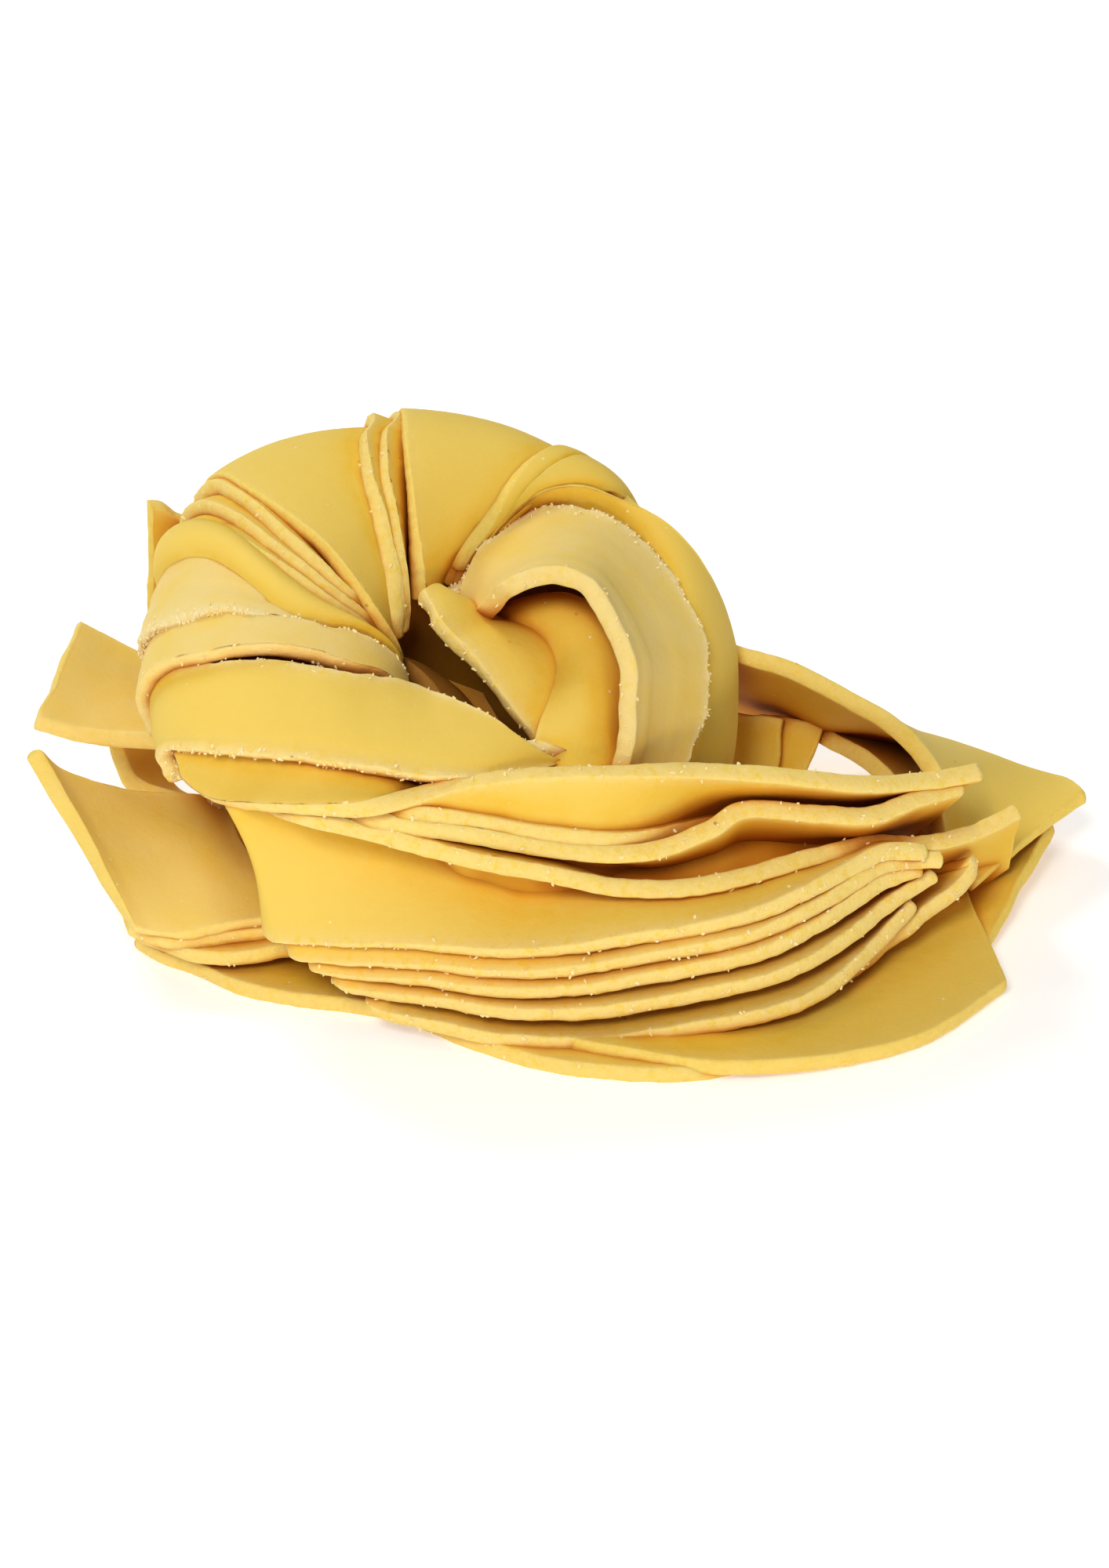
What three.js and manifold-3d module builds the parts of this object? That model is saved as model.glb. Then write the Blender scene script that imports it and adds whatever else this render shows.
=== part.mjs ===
// A nest of broad dried egg noodles, lying as it dried: a coil of twisted ribbons that
// spirals into an eye, a fan of ribbon ends sweeping round its front, and loose tails at
// the left and the right. Millimetres, +Z up, the long way of the nest along X.
import * as THREE from 'three';
import Module from 'manifold-3d';

// ---- driving dimensions -------------------------------------------------------------
const NOODLE_WIDTH = 18;
const NOODLE_THICKNESS = 1.7;
const COIL_TILT = 22;                  // degrees that the coil leans towards the front
const COIL_CENTRE = [-7.2, 3, 27];
const COIL_RADIUS = 19.2;              // of the ring that the coil's tube follows
const DROP_DIRECTION = [0, 0.848, -0.53];
const SKIRT_FOOT = 1.5;                // height at which the outer noodles end
const CORE_SIDES = 20;
const EYE_FLOOR = 12;                  // height of the bottom of the eye
const PASTA_COLOUR = 0xe3c25a;

// Sizes of the coil's tube at every 45 degrees round the ring, from +X over the back.
const TUBE_OUTWARD = [5.2, 4.2, 9.2, 13.6, 12.4, 11, 8, 6];
const TUBE_UPWARD = [9.5, 9, 9.2, 10.6, 11.5, 11, 9, 9];
const RING_DROP = [8, 4, 0, 0, 0, 0, 1, 7];
const SKIRT_TUCK = [2.5, 2.5, 3, 4, 10, 12, 9, 5];
const CORE_INSET_FOOT = [2.6, 2.4, 2.4, 3, 7, 13, 11, 9];
const CORE_INSET_RIM = [2.4, 2.4, 2.4, 2.4, 3, 6.5, 9.5, 8];

// ---- bands laid on the coil: [degrees round the ring, degrees over the tube] ----------
// left is the cut edge that shows, right the edge under the next band; lift is the height
// of each edge over the tube, at the band's start and its end.
const COIL_BANDS = [
  { name: 'broad front band', steps: 14, strips: 2, leftLift: [0.4, 0.4], rightLift: [-1.2, 0.6],
    left: [[197, -18], [200, 0], [205, 20], [217, 47], [232, 68], [249, 83], [267, 91], [278, 93], [291, 95], [306, 96]],
    right: [[178, -18], [181, 0], [186, 20], [194, 50], [200, 86], [213, 119], [226, 143], [243, 152], [270, 143], [292, 130]] },
  { name: 'narrow band', steps: 9, strips: 1, leftLift: [1.2, -1], rightLift: [-1.5, -2.5],
    left: [[186, -15], [187, 0], [190, 34], [195, 59], [200, 84], [208, 108], [222, 143], [240, 175]],
    right: [[171, -15], [173, 0], [176, 34], [180, 59], [184, 84], [190, 108], [198, 135], [206, 160]] },
  { name: 'torn band', steps: 11, strips: 1, leftLift: [0.2, 0.8], rightLift: [-2.5, -2],
    left: [[172, -90], [174, -45], [178, 0], [182, 29], [187, 58], [190, 80], [191, 100], [192, 124], [194, 150], [204, 185]],
    right: [[150, -90], [152, -45], [156, 0], [160, 29], [164, 58], [168, 80], [173, 100], [178, 124], [184, 150], [194, 185]] },
  { name: 'rolled fold', steps: 11, strips: 1, leftLift: [1, 0.4], rightLift: [0.2, -1.5],
    left: [[156, -50], [160, 0], [163, 52], [170, 74], [178, 90], [186, 103], [193, 118], [203, 150], [214, 185]],
    right: [[146, -50], [150, 0], [153, 52], [157, 74], [161, 90], [168, 106], [175, 126], [186, 155], [200, 188]] },
  { name: 'back left band', steps: 11, strips: 2, leftLift: [0.5, 0.6], rightLift: [-2.2, -2.2],
    left: [[142, -90], [142, -45], [143, 0], [144, 30], [147, 70], [150, 100], [156, 130], [164, 155], [176, 182]],
    right: [[112, -90], [113, -45], [115, 0], [117, 30], [119, 70], [121, 100], [127, 130], [136, 155], [152, 182]] },
  { name: 'back band', steps: 11, strips: 3, leftLift: [0.3, 0.8], rightLift: [0, -1.6],
    left: [[106, -90], [106, -45], [106, 0], [107, 35], [111, 76], [114, 103], [118, 128], [125, 150], [138, 180]],
    right: [[60, -90], [60, -45], [60, 0], [61, 35], [64, 70], [67, 92], [73, 118], [83, 146], [108, 182]] },
  { name: 'soft fold', steps: 11, strips: 1, leftLift: [-0.4, 0.6], rightLift: [-1.5, -1],
    left: [[62, -90], [62, -45], [61, 0], [62, 30], [66, 62], [70, 90], [76, 115], [85, 146], [104, 172]],
    right: [[40, -90], [38, -45], [40, 0], [44, 30], [50, 62], [56, 90], [64, 112], [76, 140], [94, 170]] },
  { name: 'right band', steps: 12, strips: 2, leftLift: [0.5, 0.8], rightLift: [-1, -0.5],
    left: [[-30, -50], [-10, -20], [10, 15], [30, 50], [46, 80], [57, 93], [68, 116], [80, 146], [98, 168]],
    right: [[-42, 30], [-35, 45], [-15, 70], [10, 95], [25, 108], [38, 118], [50, 128], [68, 145], [92, 170]] },
  { name: 'right wrap', steps: 6, strips: 2, leftLift: [0, 0], rightLift: [-1, -1],
    left: [[-42, -60], [-25, -60], [-5, -60], [15, -60], [35, -60], [50, -60]],
    right: [[-42, 25], [-25, 28], [-5, 36], [15, 48], [35, 60], [50, 60]] },
];

// Stacked noodles whose cut edges step down beside a broad band: the lowest edge, how far
// each next one is turned round the ring, and where the stack goes down to the floor.
const EDGE_STACKS = [
  { name: 'left stack', count: 3, turn: -3.3, foot: [146, -90], knee: [148, -30], lift: 0.8, liftStep: -0.5,
    edge: [[153, 43], [157, 72], [162, 99], [168, 120], [174, 145], [186, 175]] },
  { name: 'back stack', count: 2, turn: -5, foot: [112, -90], knee: [113, -20], lift: 1, liftStep: -0.6,
    edge: [[116, 55], [120, 81], [122, 104], [126, 124], [132, 146], [142, 172]] },
];
const STACK_OVERLAP = 16;              // degrees that a stacked noodle reaches under the next
const STACK_UNDER = -2.6;

// ---- free noodles: stations [x, y, z, swing, lean, width] ------------------------------
// x, y, z is a point of the near edge. The noodle spreads from there by its width, swing
// degrees from +Y towards +X and lean degrees up. bow is the height of its camber.
const FRONT_TWIST = { steps: 18, strips: 1, stations: [
  [-34.5, -4, 19, -3, 30, 6.5], [-35.5, -5.5, 22.5, 1, 40, 6], [-34.5, -8.5, 24.5, 31, 49, 4.5],
  [-33.5, -11, 23, 60, 59, 6.5], [-30.5, -14.5, 23, 67, 49, 7.5], [-25.5, -18, 24.5, 56, 33, 7.5],
  [-19.5, -20, 25.5, 42, 13, 6.5], [-16, -20, 26, 37, -10, 6.5], [-10.5, -18, 27, 8, -46, 14],
  [-6, -16.5, 27.5, 4, -60, 17], [0, -15, 27.5, 2, -66], [6.5, -14, 27, 0, -70],
  [13.5, -13, 26, -2, -72], [21, -12, 24.5, -6, -70], [28.5, -9.5, 22, -14, -64],
  [34.5, -6.5, 20.5, -30, -54], [39.5, -4, 19.5, -50, -44]] };
const COLLAR = { steps: 14, strips: 2, bow: 0.9, stations: [
  [-8.5, 9.5, 33, 179, -4, 7.5], [-8, 11, 33.5, 176, 10, 11], [-5, 13.5, 35.5, 179, 6, 14],
  [-0.5, 15, 37, 182, 6, 16], [5.5, 14, 36.5, 189, 7, 17.5], [10.5, 10.5, 33.5, 199, 9, 17],
  [14, 5, 29.5, 210, 15, 15.5], [14, 0, 26, 218, 20, 13], [13, -4, 23.5, 221, 23, 11],
  [11, -7.5, 21, 225, 24, 8.5]] };
const EYE_CURL = { steps: 9, strips: 2, bow: -1.4, stations: [
  [6.5, -12, 23.5, -66, -19, 10], [6, -8.5, 26.5, -64, -20, 8.5], [5.5, -5.5, 29.5, -55, -25, 7.5],
  [4.5, -2, 32.5, -56, -40, 6.5], [3, 0.5, 34, -46, -48, 6.5], [0.5, 2.5, 34, -34, -59, 5.5],
  [-2.5, 3.5, 32.5, -14, -60, 4.5], [-4, 4.5, 30.5, -1, -59, 3.5]] };
const EYE_RIDGE = { steps: 8, strips: 2, bow: -1.5, stations: [
  [-0.5, -10.5, 23.5, 15, -28, 7], [-2, -8, 25.5, 19, -6, 8], [-4, -5.5, 28, 32, -10, 9],
  [-6, -3.5, 30.5, 35, -14, 10], [-9.5, -1.5, 32.5, 31, -22, 11.5], [-11, 0.5, 33.5, 18, -26, 11.5],
  [-12.5, 3, 34, 10, -30, 9]] };

// The upper fan: noodles that stand on their sides behind each other.
const UPPER_FAN = [
  { steps: 9, strips: 1, width: 17, stations: [
    [-22, -15, 23.5, 15, -60], [-14.5, -19, 25, 8, -60], [-7.5, -18, 23.5, 4, -60], [-0.5, -16.5, 22, 2, -62],
    [6.5, -15.5, 20.5, 0, -64], [11.5, -13.5, 19.5, 0, -64], [21, -10, 19, -4, -66], [30, -6, 16.5, -10, -60]] },
  { steps: 13, strips: 1, stations: [
    [-23.5, -14, 22.5, 20, -55], [-18, -19, 24.5, 12, -60], [-7.5, -19, 22.5, 5, -62], [1, -18, 20, 2, -62],
    [8.5, -17, 19.5, 0, -64], [14, -15, 20.5, -3, -66], [17.5, -13, 21.5, -4, -68], [24.5, -11, 21, -8, -68],
    [30.5, -9.5, 19, -20, -60], [35.5, -6.5, 19, -42, -48], [38.5, -4.5, 19, -54, -42]] },
  { steps: 12, strips: 1, width: 17, stations: [
    [-29.5, -10, 21.5, 30, -50], [-23.5, -18, 24.5, 18, -50], [-16, -19.5, 23, 10, -52], [-7.5, -20, 20.5, 5, -54],
    [-0.5, -19.5, 18.5, 2, -54], [6, -18.5, 16.5, 0, -50], [12.5, -17.5, 16, -2, -50], [18, -15.5, 16, -5, -52],
    [24, -12.5, 16, -8, -54], [29.5, -9.5, 15.5, -14, -54], [34.5, -6.5, 13.5, -24, -48],
    [39.5, -3.5, 13, -38, -44], [44, -1, 14, -48, -42]] },
];

// The lower fan: a stack whose top and bottom noodles are given and the rest lie between.
const LOWER_FAN_COUNT = 5;
const LOWER_FAN_TOP = [
  [-21, -6.5, 9.5, -70, 76, 14], [-25, -11, 9.5, -70, 76, 14], [-26, -15.5, 9, -70, 76, 15], [-20, -18.5, 10, -25, 66, 16],
  [-13.5, -21, 11.5, -15, 54, 17], [-7, -22, 11.5, -5, 42, 18], [-0.5, -22, 11.5, -2, 35, 18], [6.5, -21.5, 12, 0, 28, 18],
  [14, -19, 13.5, -5, 20, 18], [19.5, -16, 14.5, -9, 12, 18], [24, -13, 15, -14, 0, 18], [29, -10, 15, -21, -12, 18],
  [33, -8.5, 14.5, -27, -20, 18], [35.5, -7.5, 13, -34, -28, 18]];
const LOWER_FAN_BOTTOM = [
  [-12, -9.5, 3.5, 40, 30, 14], [-16, -14, 3, 40, 30, 14], [-17, -18.5, 3, 40, 30, 15], [-15, -19.5, 2.5, 20, 23, 16],
  [-10.5, -21, 2.5, 10, 15, 17], [-4, -22.5, 2, 0, 8, 18], [3, -23, 2, 0, 7, 18], [10.5, -22, 2, 0, 5, 18],
  [17.5, -20.5, 3, -5, 4, 18], [23.5, -18, 3.5, -11, -1, 18], [27, -14, 4, -16, -6, 18], [30, -11, 5, -22, -10, 18],
  [32, -8.5, 6, -28, -14, 18], [34, -7, 7, -34, -16, 18]];
const STRAY_END = { steps: 6, strips: 1, width: 9, stations: [
  [24, -16, 4, -10, -14], [28.5, -13.5, 4.5, -20, -20], [32.5, -11, 5.5, -26, -24], [36, -8, 7, -32, -30],
  [38, -6, 8, -38, -32], [39.5, -4.5, 10, -42, -32]] };

// Noodles on the floor.
const FLOOR_LAYER = NOODLE_THICKNESS / 2;
const UNDERSIDE = { steps: 12, strips: 1, stations: [
  [-40, -5, 1.1, 70, 8], [-37.5, -7, FLOOR_LAYER, 50, 4], [-34, -9, FLOOR_LAYER, 20, 2], [-30, -12, FLOOR_LAYER, 10, 2],
  [-24.5, -14, FLOOR_LAYER, 2, 2], [-19.5, -15, FLOOR_LAYER, 0, 0], [-13.5, -17, FLOOR_LAYER, 0, 0],
  [-7.5, -21, FLOOR_LAYER, 0, 0], [-0.5, -24.5, FLOOR_LAYER, 0, 0], [8, -26, FLOOR_LAYER, 0, 0],
  [14.5, -25.5, FLOOR_LAYER, 0, 0], [21, -22, FLOOR_LAYER, 0, 0], [25.5, -17, FLOOR_LAYER, 0, 0]] };
const FLAT_END = { steps: 8, strips: 1, stations: [
  [-5, -20.5, 2, 5, 2], [1.5, -23, 2, 0, 2], [6.5, -24.5, 2, 0, 2], [14, -26, 1.6, 0, 2], [21, -25.5, 1.4, -2, 1],
  [28, -23.5, 1.1, -5, 1], [35, -20, 1, -9, 1], [42.5, -12, 1, -12, 2]] };

// Tails that leave the coil at the right.
const RIGHT_TAILS = [
  { steps: 10, strips: 2, stations: [
    [11, 14, 24.5, 8, -48], [18.5, 12, 23, 6, -48], [23, 11, 22, 2, -46], [28, 9, 20, 0, -42], [32.5, 7, 18, 11, -34],
    [36.5, 4, 14.5, 27, -27], [39, 1, 11, 31, -14], [40, -1.5, 5, 36, 8]] },
  { steps: 9, strips: 1, width: 16, stations: [
    [17, 18, 12.5, 0, -30], [26, 17, 11, 5, -28], [30, 14, 10.5, 8, -22], [34, 11, 9.5, 14, -16],
    [37.5, 6, 7, 20, -6], [40, 0, 4.5, 24, 6], [42, -5, 1.5, 26, 12]] },
];
const STANDING_ENDS = { count: 3, width: 15.5, shortening: -3.2, forward: -1.2, stations: [
  [13, 14, 16, 0, -64], [17, 13, 16.5, 0, -64], [21.5, 12, 16, 0, -64], [26, 12, 15.5, -8, -62]] };

// Tails that leave the coil at the left.
const LEFT_TAILS = [
  { steps: 6, strips: 1, stations: [
    [-49.5, 6, 19, 7, 2], [-44.5, 6, 17.5, 6, -3], [-38, 5, 17.5, 4, -12], [-31, 4, 17, 6, -14]] },
  { steps: 8, strips: 2, stations: [
    [-39.5, -10, 6, -44, 45, 19.5], [-37.5, -10, 5.5, -40, 36, 18.5], [-34.5, -10.5, 5.5, -26, 22, 18],
    [-31, -10, 6, -18, 14, 18], [-27, -9, 6, -12, 9, 18], [-21, -8, 6, -5, 4, 18]] },
  { steps: 6, strips: 1, stations: [
    [-40, -8.5, 5, -20, 14], [-37.5, -9.5, 4.5, -14, 12], [-34.5, -10.5, 4.5, -5, 10], [-30.5, -10, 5, 0, 8],
    [-26.5, -9.5, 5, 0, 6], [-21, -9, 5, 0, 4]] },
  { steps: 6, strips: 1, stations: [
    [-39.5, -7, 3, -10, 10], [-36.5, -9.5, 3.5, -8, 8], [-33, -11, 3.5, -4, 6], [-29, -11, 3.5, 0, 5],
    [-25, -10.5, 4, 0, 4], [-20.5, -9.5, 4, 0, 3]] },
  { steps: 8, strips: 1, width: 7, stations: [
    [-45, 13, 14, 30, -30], [-44, 12, 11.5, 35, -34], [-42, 11, 9, 40, -36], [-36.5, 9, 8.5, 30, -36],
    [-31, 7, 9, 20, -36]] },
  { steps: 6, strips: 1, stations: [
    [-39, 17, 36.5, 0, -84], [-38, 19, 36.5, 8, -86], [-35.5, 21.5, 33, 16, -88], [-31, 24, 28, 24, -88],
    [-25.5, 26, 25.5, 20, -88]] },
];

// ---- curves ----------------------------------------------------------------------------
const radians = THREE.MathUtils.degToRad;

function catmullRom(a, b, c, d, t) {
  return 0.5 * (2 * b + (c - a) * t + (2 * a - 5 * b + 4 * c - d) * t * t + (3 * b - a - 3 * c + d) * t * t * t);
}

// steps + 1 rows of numbers on the smooth curve through the given rows.
function through(rows, steps) {
  const last = rows.length - 1;
  const beyond = (end, next) => end.map((value, i) => 2 * value - next[i]);
  const all = [beyond(rows[0], rows[1]), ...rows, beyond(rows[last], rows[last - 1])];
  return Array.from({ length: steps + 1 }, (_, step) => {
    const along = (last * step) / steps;
    const span = Math.min(Math.floor(along), last - 1);
    const [a, b, c, d] = all.slice(span, span + 4);
    return b.map((_, i) => catmullRom(a[i], b[i], c[i], d[i], along - span));
  });
}

// A size given at every 45 degrees round the ring, at any angle.
function roundRing(sizes, degrees) {
  const along = THREE.MathUtils.euclideanModulo(degrees, 360) / 45;
  const span = Math.floor(along);
  const at = (i) => sizes[(span + i + 8) % 8];
  return catmullRom(at(-1), at(0), at(1), at(2), along - span);
}

// ---- the coil's surface -------------------------------------------------------------------
const ringX = new THREE.Vector3(1, 0, 0);
const ringY = new THREE.Vector3(0, Math.cos(radians(COIL_TILT)), Math.sin(radians(COIL_TILT)));
const ringUp = new THREE.Vector3(0, -Math.sin(radians(COIL_TILT)), Math.cos(radians(COIL_TILT)));

function outwardOnFloor(turn) {
  return new THREE.Vector3(Math.cos(radians(turn)), Math.sin(radians(turn)), 0);
}

// turn goes round the ring, over goes up from the outer rim across the crest into the eye.
// Below the rim (over < 0) the surface hangs down to the floor.
function coilPoint(turn, over, lift) {
  const outward = ringX.clone().multiplyScalar(Math.cos(radians(turn)));
  outward.addScaledVector(ringY, Math.sin(radians(turn)));
  const point = new THREE.Vector3(...COIL_CENTRE).addScaledVector(outward, COIL_RADIUS);
  point.addScaledVector(new THREE.Vector3(...DROP_DIRECTION), roundRing(RING_DROP, turn));
  const climb = radians(Math.max(over, 0));
  point.addScaledVector(outward, (roundRing(TUBE_OUTWARD, turn) + lift) * Math.cos(climb));
  point.addScaledVector(ringUp, (roundRing(TUBE_UPWARD, turn) + lift) * Math.sin(climb));
  const fall = THREE.MathUtils.clamp(-over, 0, 90) / 90;
  const tuck = roundRing(SKIRT_TUCK, turn);
  const belly = tuck < 6 ? 0.8 * Math.sin(Math.PI * fall) : 0;
  point.addScaledVector(outwardOnFloor(turn), belly - tuck * fall ** 1.2);
  point.z -= (point.z - SKIRT_FOOT) * fall;
  return point;
}

// ---- noodles ------------------------------------------------------------------------------
// A grid of points on the middle of a noodle: rows along it, each from edge to edge.
function bandGrid({ left, right, leftLift, rightLift, steps, strips }) {
  const withLift = (rail, [from, to]) => rail.map((row, i) => [...row, from + ((to - from) * i) / (rail.length - 1)]);
  const leftRows = through(withLift(left, leftLift), steps);
  const rightRows = through(withLift(right, rightLift), steps);
  return leftRows.map((row, i) => Array.from({ length: strips + 1 }, (_, j) => {
    const [turn, over, lift] = row.map((value, k) => THREE.MathUtils.lerp(value, rightRows[i][k], j / strips));
    return coilPoint(turn, over, lift - NOODLE_THICKNESS / 2);
  }));
}

function spreadDirection(swing, lean) {
  const level = Math.cos(radians(lean));
  return new THREE.Vector3(Math.sin(radians(swing)) * level, Math.cos(radians(swing)) * level, Math.sin(radians(lean)));
}

function noodleGrid({ stations, steps, strips, width = NOODLE_WIDTH, bow = 0 }) {
  const rows = through(stations.map((row) => [...row.slice(0, 5), row[5] ?? width]), steps);
  const edge = rows.map((row) => new THREE.Vector3(...row));
  return rows.map(([, , , swing, lean, across], i) => {
    const spread = spreadDirection(swing, lean);
    const ahead = edge[Math.min(i + 1, steps)].clone().sub(edge[Math.max(i - 1, 0)]);
    const camber = ahead.cross(spread).normalize().multiplyScalar(bow);
    return Array.from({ length: strips + 1 }, (_, j) => edge[i].clone()
      .addScaledVector(spread, (across * j) / strips)
      .addScaledVector(camber, Math.sin((Math.PI * j) / strips)));
  });
}

// The closed body of a noodle round its middle grid.
function slab(grid) {
  const steps = grid.length - 1;
  const strips = grid[0].length - 1;
  const step = (i, j) => grid[Math.min(Math.max(i, 0), steps)][Math.min(Math.max(j, 0), strips)];
  const positions = [[], []];
  for (let i = 0; i <= steps; i += 1) {
    for (let j = 0; j <= strips; j += 1) {
      const along = step(i + 1, j).clone().sub(step(i - 1, j));
      const across = step(i, j + 1).clone().sub(step(i, j - 1));
      const normal = along.cross(across).normalize();
      [0.5, -0.5].forEach((side, k) => {
        positions[k].push(...grid[i][j].clone().addScaledVector(normal, side * NOODLE_THICKNESS));
      });
    }
  }
  const wide = strips + 1;
  const below = (steps + 1) * wide;
  const triangles = [];
  const quad = (a, b, c, d) => triangles.push(a, b, c, a, c, d);
  for (let i = 0; i < steps; i += 1) {
    for (let j = 0; j < strips; j += 1) {
      const [a, b, c, d] = [i * wide + j, (i + 1) * wide + j, (i + 1) * wide + j + 1, i * wide + j + 1];
      quad(a, b, c, d);
      quad(below + a, below + d, below + c, below + b);
    }
    quad(i * wide, below + i * wide, below + (i + 1) * wide, (i + 1) * wide);
    quad(i * wide + strips, (i + 1) * wide + strips, below + (i + 1) * wide + strips, below + i * wide + strips);
  }
  for (let j = 0; j < strips; j += 1) {
    quad(j, j + 1, below + j + 1, below + j);
    const end = steps * wide + j;
    quad(end, below + end, below + end + 1, end + 1);
  }
  return { positions: positions.flat(), triangles };
}

// ---- groups of noodles -----------------------------------------------------------------------
function stackedBands({ count, turn, foot, knee, edge, lift, liftStep }) {
  return Array.from({ length: count }, (_, k) => {
    const shifted = edge.map(([round, over]) => [round + turn * k, over]);
    const left = [[foot[0] + (turn * k) / 2, foot[1]], [knee[0] + (turn * k) / 2, knee[1]], ...shifted];
    const right = left.map(([round, over]) => [round - STACK_OVERLAP, over]);
    return { left, right, leftLift: [lift + liftStep * k, 0.3], rightLift: [STACK_UNDER, STACK_UNDER], steps: 10, strips: 1 };
  });
}

function lowerFan() {
  return Array.from({ length: LOWER_FAN_COUNT }, (_, k) => {
    const depth = k / (LOWER_FAN_COUNT - 1);
    const stations = LOWER_FAN_TOP.map((row, i) => row.map((value, n) => THREE.MathUtils.lerp(value, LOWER_FAN_BOTTOM[i][n], depth)));
    return { stations, steps: 12, strips: k === 0 ? 2 : 1, bow: k === 0 ? -1 : 0 };
  });
}

function standingEnds() {
  const { count, width, shortening, forward, stations } = STANDING_ENDS;
  return Array.from({ length: count }, (_, k) => ({
    width, steps: 4, strips: 1,
    stations: stations.map(([x, y, ...rest], i) => [x + shortening * k * (i / (stations.length - 1)), y + forward * k, ...rest]),
  }));
}

// ---- the core that the noodles are pressed round ------------------------------------------------
function core() {
  const turns = Array.from({ length: CORE_SIDES }, (_, i) => (i * 360) / CORE_SIDES);
  const row = (over, lift, inset) => turns.map((turn) => coilPoint(turn, over, lift)
    .addScaledVector(outwardOnFloor(turn), -inset(turn)));
  const foot = row(-88, 0, (turn) => roundRing(CORE_INSET_FOOT, turn) + 4 - roundRing(SKIRT_TUCK, turn));
  foot.forEach((point) => point.setZ(0));
  const rim = row(0, 0, (turn) => roundRing(CORE_INSET_RIM, turn));
  const waist = rim.map((point, i) => point.clone().lerp(foot[i], 0.5).setZ(0.45 * point.z));
  const shoulder = [[40, -2.4], [80, -2.4], [120, -2.6], [160, -3.2]].map(([over, lift]) => {
    const closing = 1 - THREE.MathUtils.clamp((over - 25) / 75, 0, 1);
    return row(over, lift, (turn) => (roundRing(CORE_INSET_RIM, turn) - 2.4) * closing);
  });
  const eye = new THREE.Vector3(COIL_CENTRE[0] + 0.5, COIL_CENTRE[1] + 1.5, COIL_CENTRE[2]);
  const well = row(200, -3.6, () => 0).map((point) => point.lerp(eye, 0.2).setZ(EYE_FLOOR));
  const rings = [foot, waist, rim, ...shoulder, well];
  const middle = (ring) => ring.reduce((sum, point) => sum.add(point), new THREE.Vector3()).divideScalar(ring.length);
  const points = [...rings.flat(), middle(foot), middle(well)];
  const triangles = [];
  rings.forEach((_, r) => turns.forEach((__, i) => {
    const [a, b] = [r * CORE_SIDES + i, r * CORE_SIDES + ((i + 1) % CORE_SIDES)];
    if (r < rings.length - 1) triangles.push(a, b, b + CORE_SIDES, a, b + CORE_SIDES, a + CORE_SIDES);
    else triangles.push(a, b, points.length - 1);
    if (r === 0) triangles.push(b, a, points.length - 2);
  }));
  return { positions: points.flatMap((point) => [...point]), triangles };
}

// ---- one fused body -------------------------------------------------------------------------------
const wasm = await Module();
wasm.setup();

function solid({ positions, triangles }) {
  const body = new wasm.Manifold(new wasm.Mesh({
    numProp: 3, vertProperties: new Float32Array(positions), triVerts: new Uint32Array(triangles),
  }));
  // A noodle whose edge runs the other way comes out inside out, so its triangles are turned.
  return body.volume() > 0 ? body : solid({ positions, triangles: triangles.toReversed() });
}

function fuse(bodies) {
  const whole = bodies.reduce((sum, body) => sum.add(body));
  return whole.decompose().reduce((best, piece) => (piece.volume() > best.volume() ? piece : best));
}

function geometryOf(body) {
  const { vertProperties, triVerts } = body.getMesh();
  const geometry = new THREE.BufferGeometry();
  geometry.setAttribute('position', new THREE.BufferAttribute(vertProperties, 3));
  geometry.setIndex(new THREE.BufferAttribute(triVerts, 1));
  geometry.computeVertexNormals();
  return geometry;
}

function centreOnFloor(geometry) {
  geometry.computeBoundingBox();
  const { min, max } = geometry.boundingBox;
  return geometry.translate(-(min.x + max.x) / 2, -(min.y + max.y) / 2, -min.z);
}

const bands = [...COIL_BANDS, ...EDGE_STACKS.flatMap(stackedBands)].map(bandGrid);
const noodles = [
  FRONT_TWIST, COLLAR, EYE_CURL, EYE_RIDGE, ...UPPER_FAN, ...lowerFan(), STRAY_END, UNDERSIDE, FLAT_END,
  ...RIGHT_TAILS, ...standingEnds(), ...LEFT_TAILS,
].map(noodleGrid);
const geometry = centreOnFloor(geometryOf(fuse([core(), ...bands.map(slab), ...noodles.map(slab)].map(solid))));

const material = new THREE.MeshStandardMaterial({ color: PASTA_COLOUR, roughness: 0.75, metalness: 0 });
const nest = new THREE.Mesh(geometry, material);
nest.name = 'pasta_nest';

const group = new THREE.Group();
group.add(nest);
export default group;
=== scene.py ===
"""A nest of broad dried egg noodles: a coil of twisted ribbons that spirals into an eye,
a fan of stacked ribbon ends round its front, and loose tails at both sides.
Shapes are worked out in millimetres and turned into metres when their meshes are made."""
from math import radians

import bpy
import numpy as np
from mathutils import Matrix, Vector
from mathutils.bvhtree import BVHTree


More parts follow.
